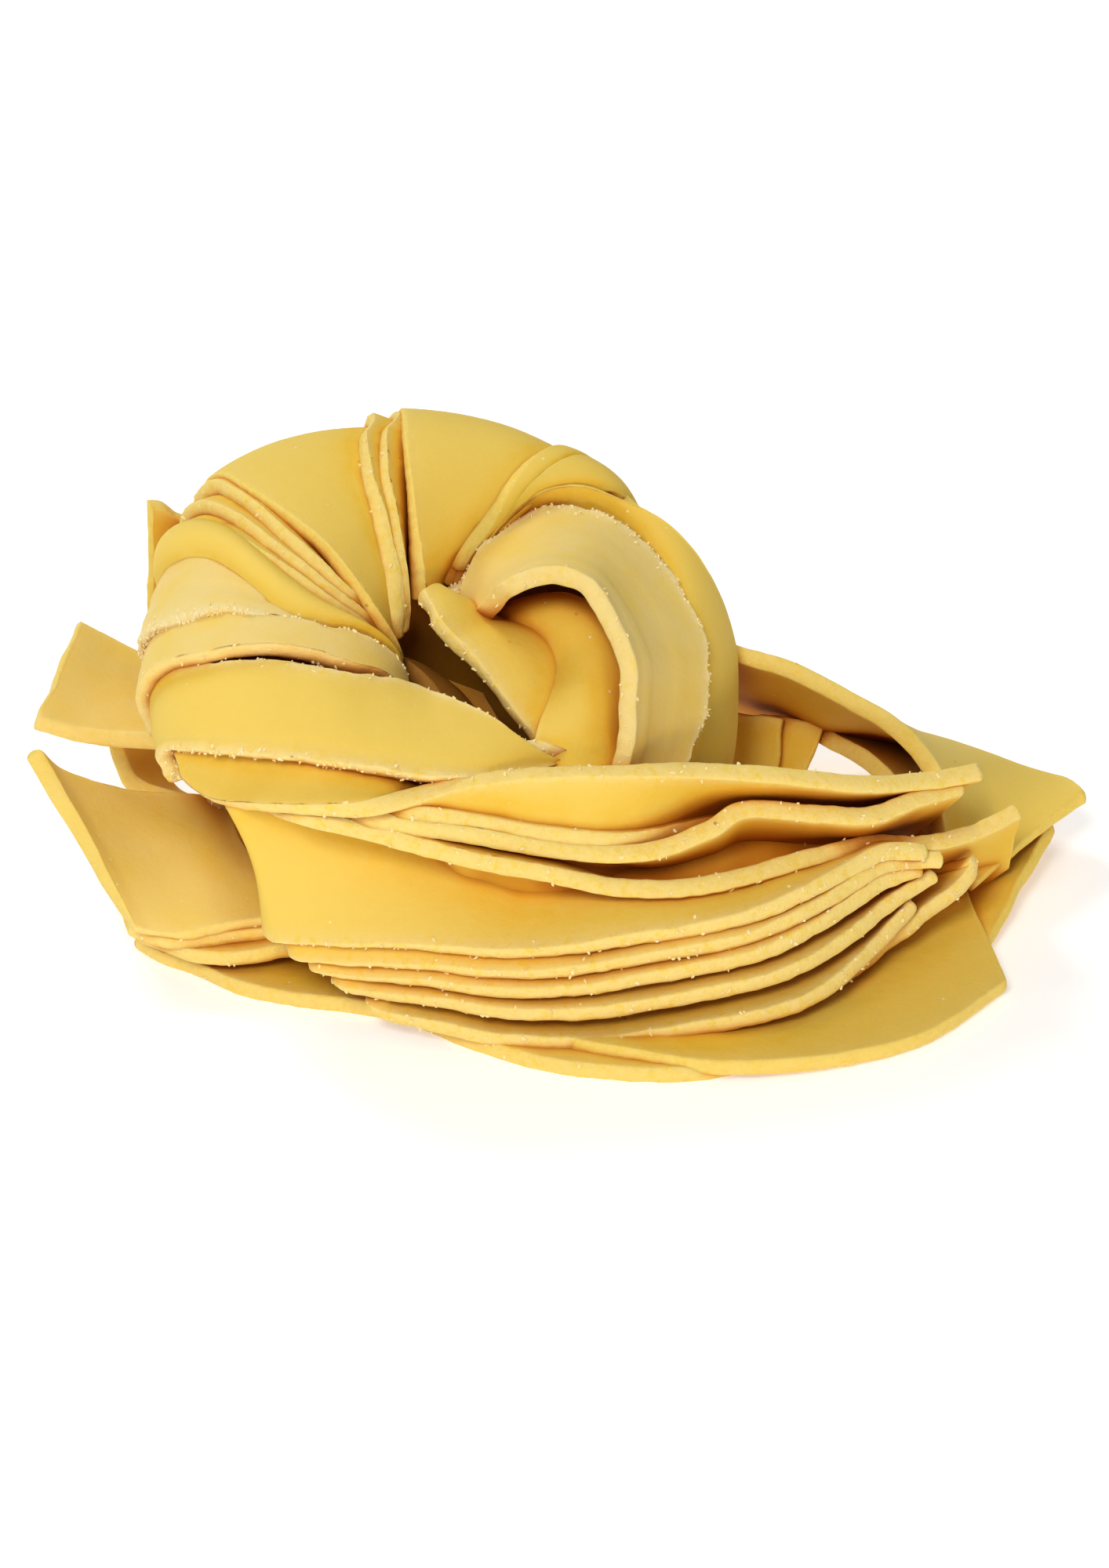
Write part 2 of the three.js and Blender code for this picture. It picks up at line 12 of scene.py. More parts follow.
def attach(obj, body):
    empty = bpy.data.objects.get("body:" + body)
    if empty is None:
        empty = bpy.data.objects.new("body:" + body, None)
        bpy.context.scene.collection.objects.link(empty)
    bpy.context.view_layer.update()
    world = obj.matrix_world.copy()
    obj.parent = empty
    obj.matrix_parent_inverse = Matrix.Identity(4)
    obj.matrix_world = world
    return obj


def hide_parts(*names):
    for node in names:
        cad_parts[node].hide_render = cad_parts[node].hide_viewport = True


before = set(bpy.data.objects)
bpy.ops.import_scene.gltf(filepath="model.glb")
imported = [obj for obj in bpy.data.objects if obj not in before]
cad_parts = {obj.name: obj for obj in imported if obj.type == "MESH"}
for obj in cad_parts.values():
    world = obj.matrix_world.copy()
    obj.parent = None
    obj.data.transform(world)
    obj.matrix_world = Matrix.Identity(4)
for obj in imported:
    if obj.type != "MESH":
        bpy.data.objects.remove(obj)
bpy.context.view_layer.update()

# ---- driving sizes, in millimetres and degrees -------------------------------------------
NOODLE_WIDTH = 18.0
NOODLE_THICKNESS = 1.7
COIL_TILT = 22.0
COIL_CENTRE = (-7.2, 3.0, 27.0)
COIL_RADIUS = 19.2
DROP_DIRECTION = (0.0, 0.848, -0.53)   # which way RING_DROP moves the ring
SKIRT_FOOT = 1.5                       # height at which the coil's outside ends
SKIRT_CURVE = 1.2
SKIRT_BELLY = 0.8
BELLY_UP_TO_TUCK = 6.0
EYE_FLOOR = 12.0                       # height of the core's floor inside the eye
NEST_MIDDLE = (0.47, 3.14, 0.0)        # what the frame's origin is, in the sizes below

# Sizes of the coil's tube at every 45 degrees round the ring, from +X over the back.
TUBE_OUTWARD = (5.2, 4.2, 9.2, 13.6, 12.4, 11, 8, 6)
TUBE_UPWARD = (9.5, 9, 9.2, 10.6, 11.5, 11, 9, 9)
RING_DROP = (8, 4, 0, 0, 0, 0, 1, 7)
SKIRT_TUCK = (2.5, 2.5, 3, 4, 10, 12, 9, 5)
CORE_INSET_FOOT = (2.6, 2.4, 2.4, 3, 7, 13, 11, 9)
CORE_INSET_RIM = (2.4, 2.4, 2.4, 2.4, 3, 6.5, 9.5, 8)

# The core inside the coil.
CORE_SIDES = 96
CORE_FOOT_LEVEL = -88.0                # degrees over the tube
CORE_FOOT_SETBACK = 4.0
CORE_WALL_SHARES = np.linspace(0.12, 0.88, 7)
CORE_LEAST_INSET = 2.4
CORE_INSET_FADES = (25, 75)            # degrees over the tube where it starts, and how many it takes
CORE_ROWS = ((20, -2.5), (40, -2.5), (60, -2.5), (80, -2.5),
             (100, -2.5), (120, -2.6), (140, -2.9), (160, -3.2))   # [degrees over the tube, lift]
WELL_EDGE = (200.0, -3.6)              # the same for the edge of the floor inside the eye
WELL_NARROWING = 0.2
WELL_OFF_CENTRE = (0.5, 1.5, 0.0)
WELL_SHARES = (0.35, 0.7)

# How closely points lie on a noodle.
STEP_ALONG = 0.42
STEP_ACROSS = 1.1
FEWEST_ALONG = 12
FEWEST_ACROSS = 4
BAND_WIDTH = 12.0                      # taken for the points across a noodle laid on the coil
BAND_CURVE_STEPS = 60                  # of the first curve, which gives a noodle's length
FREE_CURVE_STEPS = 80
EDGE_COLUMNS = (0.0, 0.5, 0.95, 1.6)   # how far from a cut edge the points beside it are
LEVELS = np.array((-1.0, -0.84, -0.3, 0.3, 0.84, 1.0))    # of the points through the thickness

# How rough a noodle is. Layers are [height, grain], with the grain in millimetres.
SURFACE_WAVES = ((0.11, 7.0), (0.03, 2.2))
THICKNESS_WAVES = ((0.05, 11.0),)      # heights here are shares of the thickness
CREASE_SWAY = ((0.04, 14.0),)          # and here of the width
TORN_BITES = ((1.0, 2.4), (0.35, 0.9))
EDGE_GRAIN = ((1.0, 0.8), (0.8, 0.45))
EDGE_LIFT = ((0.2, 1.0),)
END_WAVES = ((0.075, 1.0), (0.3, 3.5))
EDGE_ROUNDING = 0.26
EDGE_ROUGHNESS = 0.05
TORN_DEPTH = 0.7
SHALLOWEST_BITE = -0.2
MOVED_WITH_EDGE = (1.0, 0.8, 0.45, 0.15)   # shares for the columns from a cut edge inwards
RAW_FROM_EDGE = (1.0, 0.5, 0.1, 0.0)
MOVED_WITH_END = (1.0, 0.7, 0.4, 0.15)     # and for the rows from a cut end inwards
MARKS = ("raw", "torn", "floury")      # cut open, ragged, and dusted with flour, from 0 to 1

# How open a point lies, seen by rays that leave it on all sides. It sets where painted shade and painted
# light go on the dough.
OPENNESS_RAYS = 22
OPENNESS_REACH = 12.0
OPENNESS_SMOOTHING = 6
RAY_START = 0.1                        # how far off the surface
FLATTEST_RAY = 0.15                    # its share along the surface's normal
# painted shade under things: openness is taken off where a surface faces down
UNDERSIDE_SHADE_SHARE = 0.5                  # taken off where a surface faces down
UNDERSIDE_FROM = 0.2                   # upward share of a normal below which it faces down

# ---- noodles laid on the coil ------------------------------------------------------------
# Rails are [degrees round the ring, degrees over the tube] and may add a lift of their own;
# left_lift and right_lift are each rail's height over the tube at its start and its end. torn
# is how ragged the left and the right edge are, floury how far it is dusted with flour, bulge
# how far the middle arches up, and crease lists [place, depth, breadth], of which place and
# breadth are shares of the width. width is needed only for its points across.
COIL_LEFT = [
    dict(left_lift=(0.4, -0.8), right_lift=(-1.2, 0.2), torn=(0.6, 0.7),
         left=[(197, -18), (200, 0), (205, 20), (217, 47), (231, 67), (244, 79), (256, 86), (268, 93),
               (280, 98), (292, 100), (302, 100)],
         right=[(178, -18), (181, 0), (187, 29), (195, 60), (199, 80), (204, 95), (213, 114, 0.5),
                (220, 131, 0.8), (229, 147, 1.9), (242, 149, 2.8), (256, 145, 3.6), (272, 136, 3.4),
                (286, 118, 1.7), (296, 98)],
         crease=[(0.12, 0.35, 0.05)]),
    dict(left_lift=(0.9, 0.1), right_lift=(-1.5, 1.0), torn=(0.35, 0.9), floury=0.5,
         left=[(187, -15), (188, 0), (190, 32), (195, 60), (199, 84), (204, 102), (213, 122), (218, 144),
               (226, 168)],
         right=[(171, -15), (173, 0), (177, 34), (180, 59), (185, 84), (190, 104), (193, 122),
                (197, 141), (203, 165)]),
    dict(left_lift=(0.2, 0.4), right_lift=(-1.0, -1.4), torn=(1.0, 0.1), floury=0.55,
         left=[(172, -90), (174, -45), (177, 0), (180, 26), (183, 50), (185, 72), (189, 88),
               (192, 104, -0.6), (194, 130, -1.4), (198, 160, -1.6)],
         right=[(150, -90), (152, -45), (154, 0), (157, 26), (160, 50), (165, 74), (172, 96), (178, 120),
                (184, 145), (192, 170)],
         crease=[(0.33, 0.25, 0.05), (0.62, 0.15, 0.05)]),
    dict(left_lift=(-0.9, -0.6), right_lift=(-0.8, -1.2), torn=(0.1, 0.1), bulge=1.6,
         left=[(160, -50), (164, 0), (165, 30), (167, 55), (172, 72), (179, 84), (187, 96), (192, 108),
               (194, 124), (196, 142), (202, 172)],
         right=[(146, -50), (150, 0), (153, 30), (156, 55), (160, 73), (166, 88), (172, 102), (179, 118),
                (185, 136), (191, 158), (200, 182)]),
]
COIL_BACK = [
    dict(left_lift=(0.6, 0.6), right_lift=(-1.6, -1.8), torn=(0.15, 0.1),
         left=[(142, -90), (142, -45), (143, 0), (145, 39), (149, 64), (153, 86), (158, 106), (165, 121),
               (174, 135), (182, 150), (188, 172)],
         right=[(105, -90), (106, -45), (108, 0), (110, 30), (113, 64), (117, 88), (123, 106),
                (131, 122), (142, 140), (156, 156), (170, 172)]),
    dict(left_lift=(-0.1, 0.4), right_lift=(-0.8, -1.4), torn=(0.15, 0.1),
         left=[(106, -90), (106, -45), (106, 0), (107, 50), (110, 80), (114, 104), (119, 121),
               (127, 138), (140, 154)],
         right=[(62, -90), (62, -45), (63, 0), (66, 40), (71, 76), (77, 104), (83, 128), (92, 150),
                (112, 170)]),
    dict(left_lift=(-0.5, 0.2), right_lift=(-1.6, -1.2), torn=(0.1, 0.1), bulge=0.7,
         left=[(68, -90), (67, -45), (66, 0), (67, 35), (72, 66), (76, 90), (81, 114), (88, 138),
               (104, 160)],
         right=[(52, -90), (51, -45), (52, 0), (56, 30), (61, 62), (66, 88), (72, 110), (80, 132),
                (98, 158)]),
    dict(left_lift=(-0.4, 0.4), right_lift=(-1.6, -1.2), torn=(0.1, 0.1), bulge=0.6,
         left=[(56, -90), (55, -45), (56, 0), (60, 35), (65, 64), (69, 88), (75, 110), (82, 132),
               (94, 154), (110, 166)],
         right=[(38, -90), (37, -45), (40, 0), (44, 30), (49, 62), (54, 84), (62, 104), (72, 124),
                (86, 150), (102, 165)]),
    dict(left_lift=(0.3, 0.4), right_lift=(-1.0, -0.8), torn=(0.1, 0.1), bulge=0.4,
         left=[(-30, -50), (-10, -20), (10, 20), (28, 60), (43, 86), (57, 99), (69, 114), (80, 135),
               (92, 154), (108, 166)],
         right=[(-42, 30), (-35, 45), (-15, 70), (8, 93), (25, 106), (38, 116), (50, 128), (68, 145),
                (84, 158), (102, 170)]),
    dict(left_lift=(0.0, 0.0), right_lift=(-1.0, -1.0), torn=(0.1, 0.1),
         left=[(-42, -60), (-25, -60), (-5, -60), (15, -60), (35, -60), (50, -60)],
         right=[(-42, 25), (-25, 28), (-5, 36), (15, 48), (35, 60), (50, 60)]),
    dict(left_lift=(-1.2, 1.2), right_lift=(1.9, 1.9), torn=(0.3, 0.3), bulge=0.4, width=16, floury=0.3,
         left=[(36, -82), (55, -70), (80, -60), (105, -63), (128, -74), (146, -88)],
         right=[(34, -30), (56, -14), (82, -2), (108, -6), (132, -22), (150, -44)]),
]
# Stacked noodles whose cut edges step down beside a broad band.
LEFT_STACK = dict(count=3, turn=-5.2, foot=(150, -90), knee=(153, -30),
                  lift=0.5, lift_step=0.1, under=-4.2,
                  edge=[(157, 30), (160, 55), (164, 73), (169, 88), (174, 102), (181, 120), (186, 138),
                        (192, 165)])
BACK_STACK = dict(count=2, turn=-5.0, foot=(111, -90), knee=(112, -20),
                  lift=0.0, lift_step=0.0, under=-4.0,
                  edge=[(113, 45), (118, 67), (122, 84), (126, 98), (131, 114), (141, 132), (154, 148),
                        (170, 165)])
STACK_OVERLAP = 16                     # degrees from a stacked noodle's left edge to its right
STACK_END_LIFT = 0.3
STACK_TORN = (0.3, 0.1)

# ---- free noodles ------------------------------------------------------------------------
# Stations are [x, y, z, swing, lean, width]: a point of the near edge, and which way the noodle
# spreads from it, swing degrees from +Y towards +X and lean degrees up. A row without a width
# has the noodle's. bow is its camber.
FRONT_TWIST = dict(torn=(0.35, 0.1), stations=[
    (-34.5, -4, 19, -3, 30, 6.5), (-35.5, -5.5, 22.5, 1, 40, 6), (-34.5, -8.5, 24.5, 31, 49, 4.5),
    (-33.5, -11, 23, 60, 59, 6.5), (-30.5, -14.5, 23, 67, 49, 7.5), (-25.5, -18, 24.5, 56, 33, 7.5),
    (-19.5, -20, 25.5, 42, 13, 6.5), (-16, -20, 26, 37, -10, 6.5), (-10.5, -18, 27, 8, -70, 14),
    (-6, -17, 27.5, 4, -84, 16), (0, -16, 27.5, 2, -90), (6.5, -15, 27, 0, -84),
    (13.5, -13.5, 26, -2, -62), (21, -12, 24.5, -6, -52), (28.5, -9.5, 22, -12, -48),
    (34.5, -6.5, 20.5, -22, -44), (39.8, -4, 20, -32, -40)])
COLLAR = dict(bow=0.9, torn=(1.0, 0.4), floury=0.45,
              crease=[(0.33, 0.12, 0.05), (0.78, 0.22, 0.04)], stations=[
    (-10.5, 6.5, 33, 157, -55, 4.5), (-9.5, 8, 33, 163, -37, 5), (-8.5, 9.5, 33.5, 167, -11, 7),
    (-7, 11.5, 34.5, 172, 3, 10.5), (-4.5, 13.5, 35.5, 178, 8, 14), (-0.5, 15, 37, 180, 7, 16),
    (5, 14, 36.5, 187, 8, 17), (10, 10.5, 33.5, 198, 10, 16.5), (13.5, 5, 29.5, 209, 16, 15),
    (14, 0, 26, 218, 20, 13), (13, -4, 23.5, 221, 23, 11), (11, -7.5, 21, 225, 24, 8.5)])
EYE_CURL = dict(bow=1.6, torn=(0.1, 0.1), stations=[
    (7, -11, 23, -102, 4, 9.5), (6.5, -7, 25.5, -105, 2, 8.5), (6.5, -3.5, 28.5, -105, -11, 7.5),
    (6, 0.5, 31, -111, -24, 6.5), (4, 3.5, 32.5, -124, -33, 5.5), (1, 6, 32.5, -145, -34, 4.5),
    (-2.5, 7.5, 31, -168, -28, 3.5), (-4, 8, 29, -182, -14, 2.5)])
EYE_RIDGE = dict(bow=-0.8, torn=(0.45, 0.1), stations=[
    (-0.5, -10.5, 23.5, 16, -27, 6.5), (-2, -8, 25.5, 35, -3, 6), (-4.5, -6, 28, 48, -5, 8.5),
    (-6, -4.5, 29.5, 48, -4, 9.5), (-8, -3, 31.5, 44, -10, 10), (-9.5, -2, 32.5, 33, -15, 8.5),
    (-11, -1, 34, 27, -17, 7.5), (-11.5, 0.5, 34.5, 24, -19, 5.5), (-12.5, 2.5, 35, 18, -30, 5)])
EYE_DEPTH = [
    dict(bow=1.0, torn=(0.1, 0.1), stations=[
        (-15, 4, 27, 60, -50, 9), (-12, 1, 26, 50, -50, 9), (-9, -3, 23, 40, -50, 9),
        (-6, -7, 19, 35, -50, 8)]),
    dict(torn=(0.1, 0.1), stations=[
        (-14, 8, 24, 110, -10, 8), (-13, 3, 21.5, 100, -10, 9), (-11.5, -3, 19, 95, -5, 9),
        (-9.5, -9, 17.5, 90, 0, 8)]),
]
UPPER_FAN = [
    dict(torn=(0.35, 0.1), stations=[
        (-22, -15, 23.5, 15, -20, 9), (-14.5, -19, 25, 8, -12, 9), (-7.5, -18.5, 23.5, 4, -8, 9),
        (-0.5, -17.8, 21.5, 2, -8, 9), (6.5, -16.5, 20, 0, -12, 9), (12, -13.5, 19.3, 0, -20, 9),
        (18, -11, 19, -4, -34, 9), (24, -8, 18.5, -10, -50, 9)]),
    dict(torn=(0.35, 0.1), stations=[
        (-23.5, -14, 22.5, 20, -22, 9), (-18, -19, 24.3, 12, -12, 9), (-7.5, -19, 22.3, 5, -10, 9),
        (1, -18, 20, 2, -24, 12), (8.5, -17, 19.5, 0, -44, 17), (14, -15, 20.5, -2, -50, 18),
        (17.5, -13, 21.5, -3, -52, 18), (24.5, -11.5, 20, -6, -52, 18), (29, -10.5, 19.2, -10, -50, 18),
        (33.5, -7.8, 19.3, -16, -48, 18), (38, -5, 19, -20, -46, 18)]),
    dict(torn=(0.35, 0.1), stations=[
        (-29.5, -10, 21.5, 30, -26, 9), (-23.5, -18, 24, 18, -14, 9), (-16, -19.5, 22.7, 10, -8, 9),
        (-7.5, -20, 20.3, 5, -8, 9), (-0.5, -19.5, 18.4, 2, -14, 10), (6, -18.5, 16.5, 0, -32, 14),
        (12.5, -17.5, 16, -2, -42, 17), (18, -15.5, 16, -5, -46, 17), (24, -12.5, 16, -8, -48, 17),
        (29.5, -9.5, 15.5, -10, -50, 17), (34.5, -6.5, 13.5, -10, -54, 16),
        (39.5, -3.5, 13, -8, -60, 13.5), (44, -1, 14, -6, -64, 10)]),
]
# The lower fan is a stack between its top and its bottom noodle. Each noodle has its share of
# the way down at its start and its end, and the share of the whole length at which it is cut.
LOWER_FAN = ((0.0, 0.0, 0.965), (0.29, 0.15, 1.0), (0.5, 0.33, 0.955), (0.7, 0.65, 1.0),
             (1.0, 1.0, 0.95))
LOWER_FAN_STEP = 4
LOWER_FAN_TOP_BOW = -1.0
LOWER_FAN_TORN = (0.4, 0.1)
LOWER_FAN_TOP = [
    (-21, -6.5, 9.5, -70, 76, 14), (-25, -11, 9.5, -70, 76, 14), (-26, -15.5, 9, -70, 76, 15),
    (-20, -18.5, 10, -25, 66, 16), (-13.5, -21, 11.5, -15, 54, 17), (-7, -22, 11.5, -5, 42, 18),
    (-0.5, -22, 11.5, -2, 35, 18), (6.5, -21.5, 12.5, 0, 28, 18), (12.5, -20.5, 13, -3, 22, 18),
    (18, -19, 13.5, -7, 15, 18), (23, -16.5, 14.5, -12, 6, 18), (27, -13.5, 15, -18, -4, 18),
    (30.5, -11, 15.5, -24, -14, 18), (33.5, -10, 15, -30, -22, 18), (36.5, -10, 14.5, -35, -28, 18)]
LOWER_FAN_BOTTOM = [
    (-12, -9.5, 3.5, 40, 30, 14), (-16, -14, 3, 40, 30, 14), (-17, -18.5, 3, 40, 30, 15),
    (-15, -19.5, 2.5, 20, 23, 16), (-10.5, -21, 2.5, 10, 15, 17), (-4, -22.5, 2, 0, 8, 18),
    (3, -23, 2, 0, 6, 18), (9, -22.5, 2.5, 0, 5, 18), (15, -22, 3.5, -3, 4, 18), (20, -21, 4, -7, 3, 18),
    (24, -19, 4.5, -12, 1, 18), (27.5, -16, 5.5, -17, -3, 18), (30.5, -12.5, 6.5, -23, -7, 18),
    (33, -10, 8, -28, -11, 18), (35, -8, 9.5, -32, -15, 18)]
STRAY_END = dict(width=10, torn=(0.4, 0.3), stations=[
    (27, -14.5, 3.5, -12, 2), (29.5, -12, 4, -20, -2), (31.5, -10.5, 5, -26, -6),
    (33.5, -9.5, 6, -34, -10), (35.5, -8, 7, -44, -14), (37.5, -7, 8, -52, -18),
    (39, -6, 9, -60, -22), (39.7, -5, 10, -70, -26), (39.4, -4.5, 11, -84, -32)])
FLOOR_LAYER = NOODLE_THICKNESS / 2
FLOOR_NOODLES = [
    dict(torn=(0.25, 0.1), stations=[
        (-40, -5, 1.1, 70, 8), (-37.5, -7, FLOOR_LAYER, 50, 4), (-34, -9, FLOOR_LAYER, 20, 2),
        (-30, -12, FLOOR_LAYER, 10, 2), (-24.5, -14, FLOOR_LAYER, 2, 2), (-19.5, -15, FLOOR_LAYER, 0, 0),
        (-13.5, -17, FLOOR_LAYER, 0, 0), (-7.5, -21, FLOOR_LAYER, 0, 0),
        (-0.5, -24.5, FLOOR_LAYER, 0, 0), (8, -26, FLOOR_LAYER, 0, 0), (14.5, -25.5, FLOOR_LAYER, 0, 0),
        (21, -22, FLOOR_LAYER, 0, 0), (25.5, -17, FLOOR_LAYER, 0, 0)]),
    dict(torn=(0.15, 0.1), stations=[
        (-5, -20.5, 2, 5, 2), (1.5, -23, 2, 0, 2), (6.5, -24.5, 2, 0, 2), (14, -26, 1.6, 0, 2),
        (21, -25.5, 1.4, -2, 1), (28, -23.5, 1.1, -5, 2), (35, -20, 1, -9, 4), (42.5, -12, 1, -13, 9)]),
]
RIGHT_TAILS = [
    dict(torn=(0.2, 0.1), stations=[
        (11, 14, 24.5, 8, -48), (18.5, 12, 23, 6, -48), (23, 11, 22, 2, -46), (28, 9, 20, 0, -42),
        (32.5, 7, 18, 11, -34), (36, 4.5, 14.5, 25, -25), (36, 3, 12, 37, -18, 19.5),
        (37, 1.5, 8.5, 43, -7, 20), (40, -1.5, 5, 41, 6, 18.5)]),
    dict(width=16, torn=(0.2, 0.1), stations=[
        (22, 21.5, 9, -10, -30, 9), (25.5, 20.5, 9.5, 0, -28, 10), (27.5, 17.5, 10, 8, -24, 14),
        (30.5, 13, 10.5, 9, -20, 17), (33, 9, 9.5, 14, -15, 18), (35.5, 4, 5, 21, -4, 19),
        (38.5, -2, 2, 24, 6, 19.5), (41, -6.5, 1, 25, 11, 19)]),
]
STANDING_ENDS = [
    dict(width=13, bow=-1.0, torn=(0.2, 0.1), stations=[
        (17, 18.5, 13, -146, -62), (19, 18.5, 12.5, -150, -62), (20.5, 18.5, 12.5, -158, -62),
        (22.5, 18.5, 12, -163, -61)]),
    dict(width=12, bow=-1.0, torn=(0.2, 0.1), stations=[
        (19.5, 20, 11.5, -143, -61), (21.5, 20, 11.5, -145, -60), (24.5, 20, 11, -141, -58),
        (27, 20, 10.5, -138, -54)]),
]
LEFT_TAILS = [
    dict(torn=(0.2, 0.1), floury=0.3, stations=[
        (-49.5, 6, 19, 7, 2), (-44.5, 6, 17.5, 6, -3), (-38, 5, 17.5, 4, -12), (-31, 4, 17, 6, -14)]),
    dict(torn=(0.2, 0.1), floury=0.25, stations=[
        (-39.5, -10, 6, -44, 45, 19.5), (-37.5, -10, 5.5, -40, 36, 18.5),
        (-34.5, -10.5, 5.5, -26, 22, 18), (-31, -10, 6, -18, 14, 18), (-27, -9, 6, -12, 9, 18),
        (-21, -8, 6, -5, 4, 18)]),
    dict(torn=(0.3, 0.1), stations=[
        (-40, -8.5, 5, -20, 14), (-37.5, -9.5, 4.5, -14, 12), (-34.5, -10.5, 4.5, -5, 10),
        (-30.5, -10, 5, 0, 8), (-26.5, -9.5, 5, 0, 6), (-21, -9, 5, 0, 4)]),
    dict(torn=(0.3, 0.1), stations=[
        (-39.5, -7, 3, -10, 10), (-36.5, -9.5, 3.5, -8, 8), (-33, -11, 3.5, -4, 6),
        (-29, -11, 3.5, 0, 5), (-25, -10.5, 4, 0, 4), (-20.5, -9.5, 4, 0, 3)]),
    dict(width=7, torn=(0.2, 0.1), stations=[
        (-43, 13, 14, 30, -30), (-42.5, 12, 11.5, 35, -34), (-41, 11, 9, 40, -36),
        (-36.5, 9, 8.5, 30, -36), (-31, 7, 9, 20, -36)]),
    dict(torn=(0.2, 0.1), stations=[
        (-39, 19, 36, -53, -87), (-37.5, 19.5, 35.5, -56, -87), (-36, 20, 34, -52, -87),
        (-33.5, 21, 33, -55, -87), (-31, 22.5, 31.5, -50, -87)]),
]


# ---- curves and noise --------------------------------------------------------------------
SEED_SHIFT = 7.31
# Odd numbers that scatter the corners of a noise's cells over random codes.
HASH_CELL = np.array((374761393, 668265263, 1440662683))
HASH_SEED = 974711
HASH_MIX = 1274126177
HASH_BITS = 0x7FFFFFFF


def catmull_rom(a, b, c, d, t):
    square = (2 * a - 5 * b + 4 * c - d) * t**2
    cube = (3 * b - a - 3 * c + d) * t**3
    return 0.5 * (2 * b + (c - a) * t + square + cube)


def through(rows, steps):
    """steps + 1 rows of numbers on the smooth curve through the given rows."""
    rows = np.array(rows, float)
    padded = np.vstack([2 * rows[0] - rows[1], rows, 2 * rows[-1] - rows[-2]])
    along = np.linspace(0, len(rows) - 1, steps + 1)
    span = np.minimum(along.astype(int), len(rows) - 2)
    return catmull_rom(*(padded[span + k] for k in range(4)), (along - span)[:, None])


def round_ring(sizes, turn):
    """A size given at every 45 degrees round the ring, at any angle."""
    sizes = np.array(sizes, float)
    along = np.mod(turn, 360.0) / 45
    span = np.floor(along).astype(int)
    return catmull_rom(*(sizes[(span + k) % 8] for k in (-1, 0, 1, 2)), along - span)


def speckle(points, grain, seed):
    """Smooth random numbers from -1 to 1 that change over a distance of grain."""
    spot = points / grain + seed * SEED_SHIFT
    cell = np.floor(spot).astype(np.int64)
    part = spot - cell
    part = part * part * (3 - 2 * part)
    total = 0.0
    for corner in np.ndindex(2, 2, 2):
        weight = np.prod(np.where(corner, part, 1 - part), axis=-1)
        code = ((cell + corner) @ HASH_CELL + seed * HASH_SEED) & HASH_BITS
        code = ((code ^ (code >> 13)) * HASH_MIX) & HASH_BITS
        total = total + weight * (((code ^ (code >> 16)) & 0xFFFF) / 32767.5 - 1)
    return total


def unevenness(points, layers, seed):
    """The sum of layers of speckle, given as [height, grain], each with a seed of its own."""
    return sum(height * speckle(points, grain, seed + k) for k, (height, grain) in enumerate(layers))


def unit(vectors):
    return vectors / np.maximum(np.linalg.norm(vectors, axis=-1, keepdims=True), 1e-9)


# ---- the coil's surface ------------------------------------------------------------------
RING_X = np.array((1.0, 0.0, 0.0))
RING_Y = np.array((0.0, np.cos(radians(COIL_TILT)), np.sin(radians(COIL_TILT))))
RING_UP = np.array((0.0, -np.sin(radians(COIL_TILT)), np.cos(radians(COIL_TILT))))


def outward_on_floor(turn):
    return np.stack([np.cos(np.radians(turn)), np.sin(np.radians(turn)), 0 * turn], axis=-1)


def coil_point(turn, over, lift):
    """turn goes round the ring, over goes up from the outer rim across the crest into the
    eye, and below the rim, where over is less than 0, the surface hangs to the floor."""
    turn, over, lift = np.broadcast_arrays(*(np.asarray(a, float) for a in (turn, over, lift)))
    outward = np.cos(np.radians(turn))[..., None] * RING_X + np.sin(np.radians(turn))[..., None] * RING_Y
    point = np.array(COIL_CENTRE) + COIL_RADIUS * outward
    point = point + round_ring(RING_DROP, turn)[..., None] * np.array(DROP_DIRECTION)
    climb = np.radians(np.maximum(over, 0))
    point = point + ((round_ring(TUBE_OUTWARD, turn) + lift) * np.cos(climb))[..., None] * outward
    point = point + ((round_ring(TUBE_UPWARD, turn) + lift) * np.sin(climb))[..., None] * RING_UP
    fall = np.clip(-over, 0, 90) / 90
    tuck = round_ring(SKIRT_TUCK, turn)
    belly = np.where(tuck < BELLY_UP_TO_TUCK, SKIRT_BELLY * np.sin(np.pi * fall), 0)
    point = point + (belly - tuck * fall**SKIRT_CURVE)[..., None] * outward_on_floor(turn)
    point[..., 2] -= (point[..., 2] - SKIRT_FOOT) * fall
    return point


# ---- a noodle's middle surface -----------------------------------------------------------
def shares_across(width):
    """Shares of the width at which a noodle has points, closer together at its cut edges."""
    near_edge = np.array(EDGE_COLUMNS) / width
    inside = max(FEWEST_ACROSS, round(width / STEP_ACROSS))
    inside = np.linspace(near_edge[-1], 1 - near_edge[-1], inside)
    return np.concatenate([near_edge[:-1], inside, 1 - near_edge[-2::-1]])


def steps_along(edge):
    return max(FEWEST_ALONG, int(np.linalg.norm(np.diff(edge, axis=0), axis=1).sum() / STEP_ALONG))


def band_surface(noodle):
    """Points on the middle of a noodle laid on the coil, rows along it and columns across."""
    rails = []
    for side in ("left", "right"):
        start, end = noodle[side + "_lift"]
        lifts = np.linspace(start, end, len(noodle[side]))
        rails.append([(*row[:2], lift + sum(row[2:])) for row, lift in zip(noodle[side], lifts)])
    steps = steps_along(coil_point(*through(rails[0], BAND_CURVE_STEPS).T))
    left, right = (through(rail, steps)[:, None] for rail in rails)
    share = shares_across(noodle.get("width", BAND_WIDTH))
    turn, over, lift = np.moveaxis(left + (right - left) * share[None, :, None], -1, 0)
    return coil_point(turn, over, lift - NOODLE_THICKNESS / 2), share


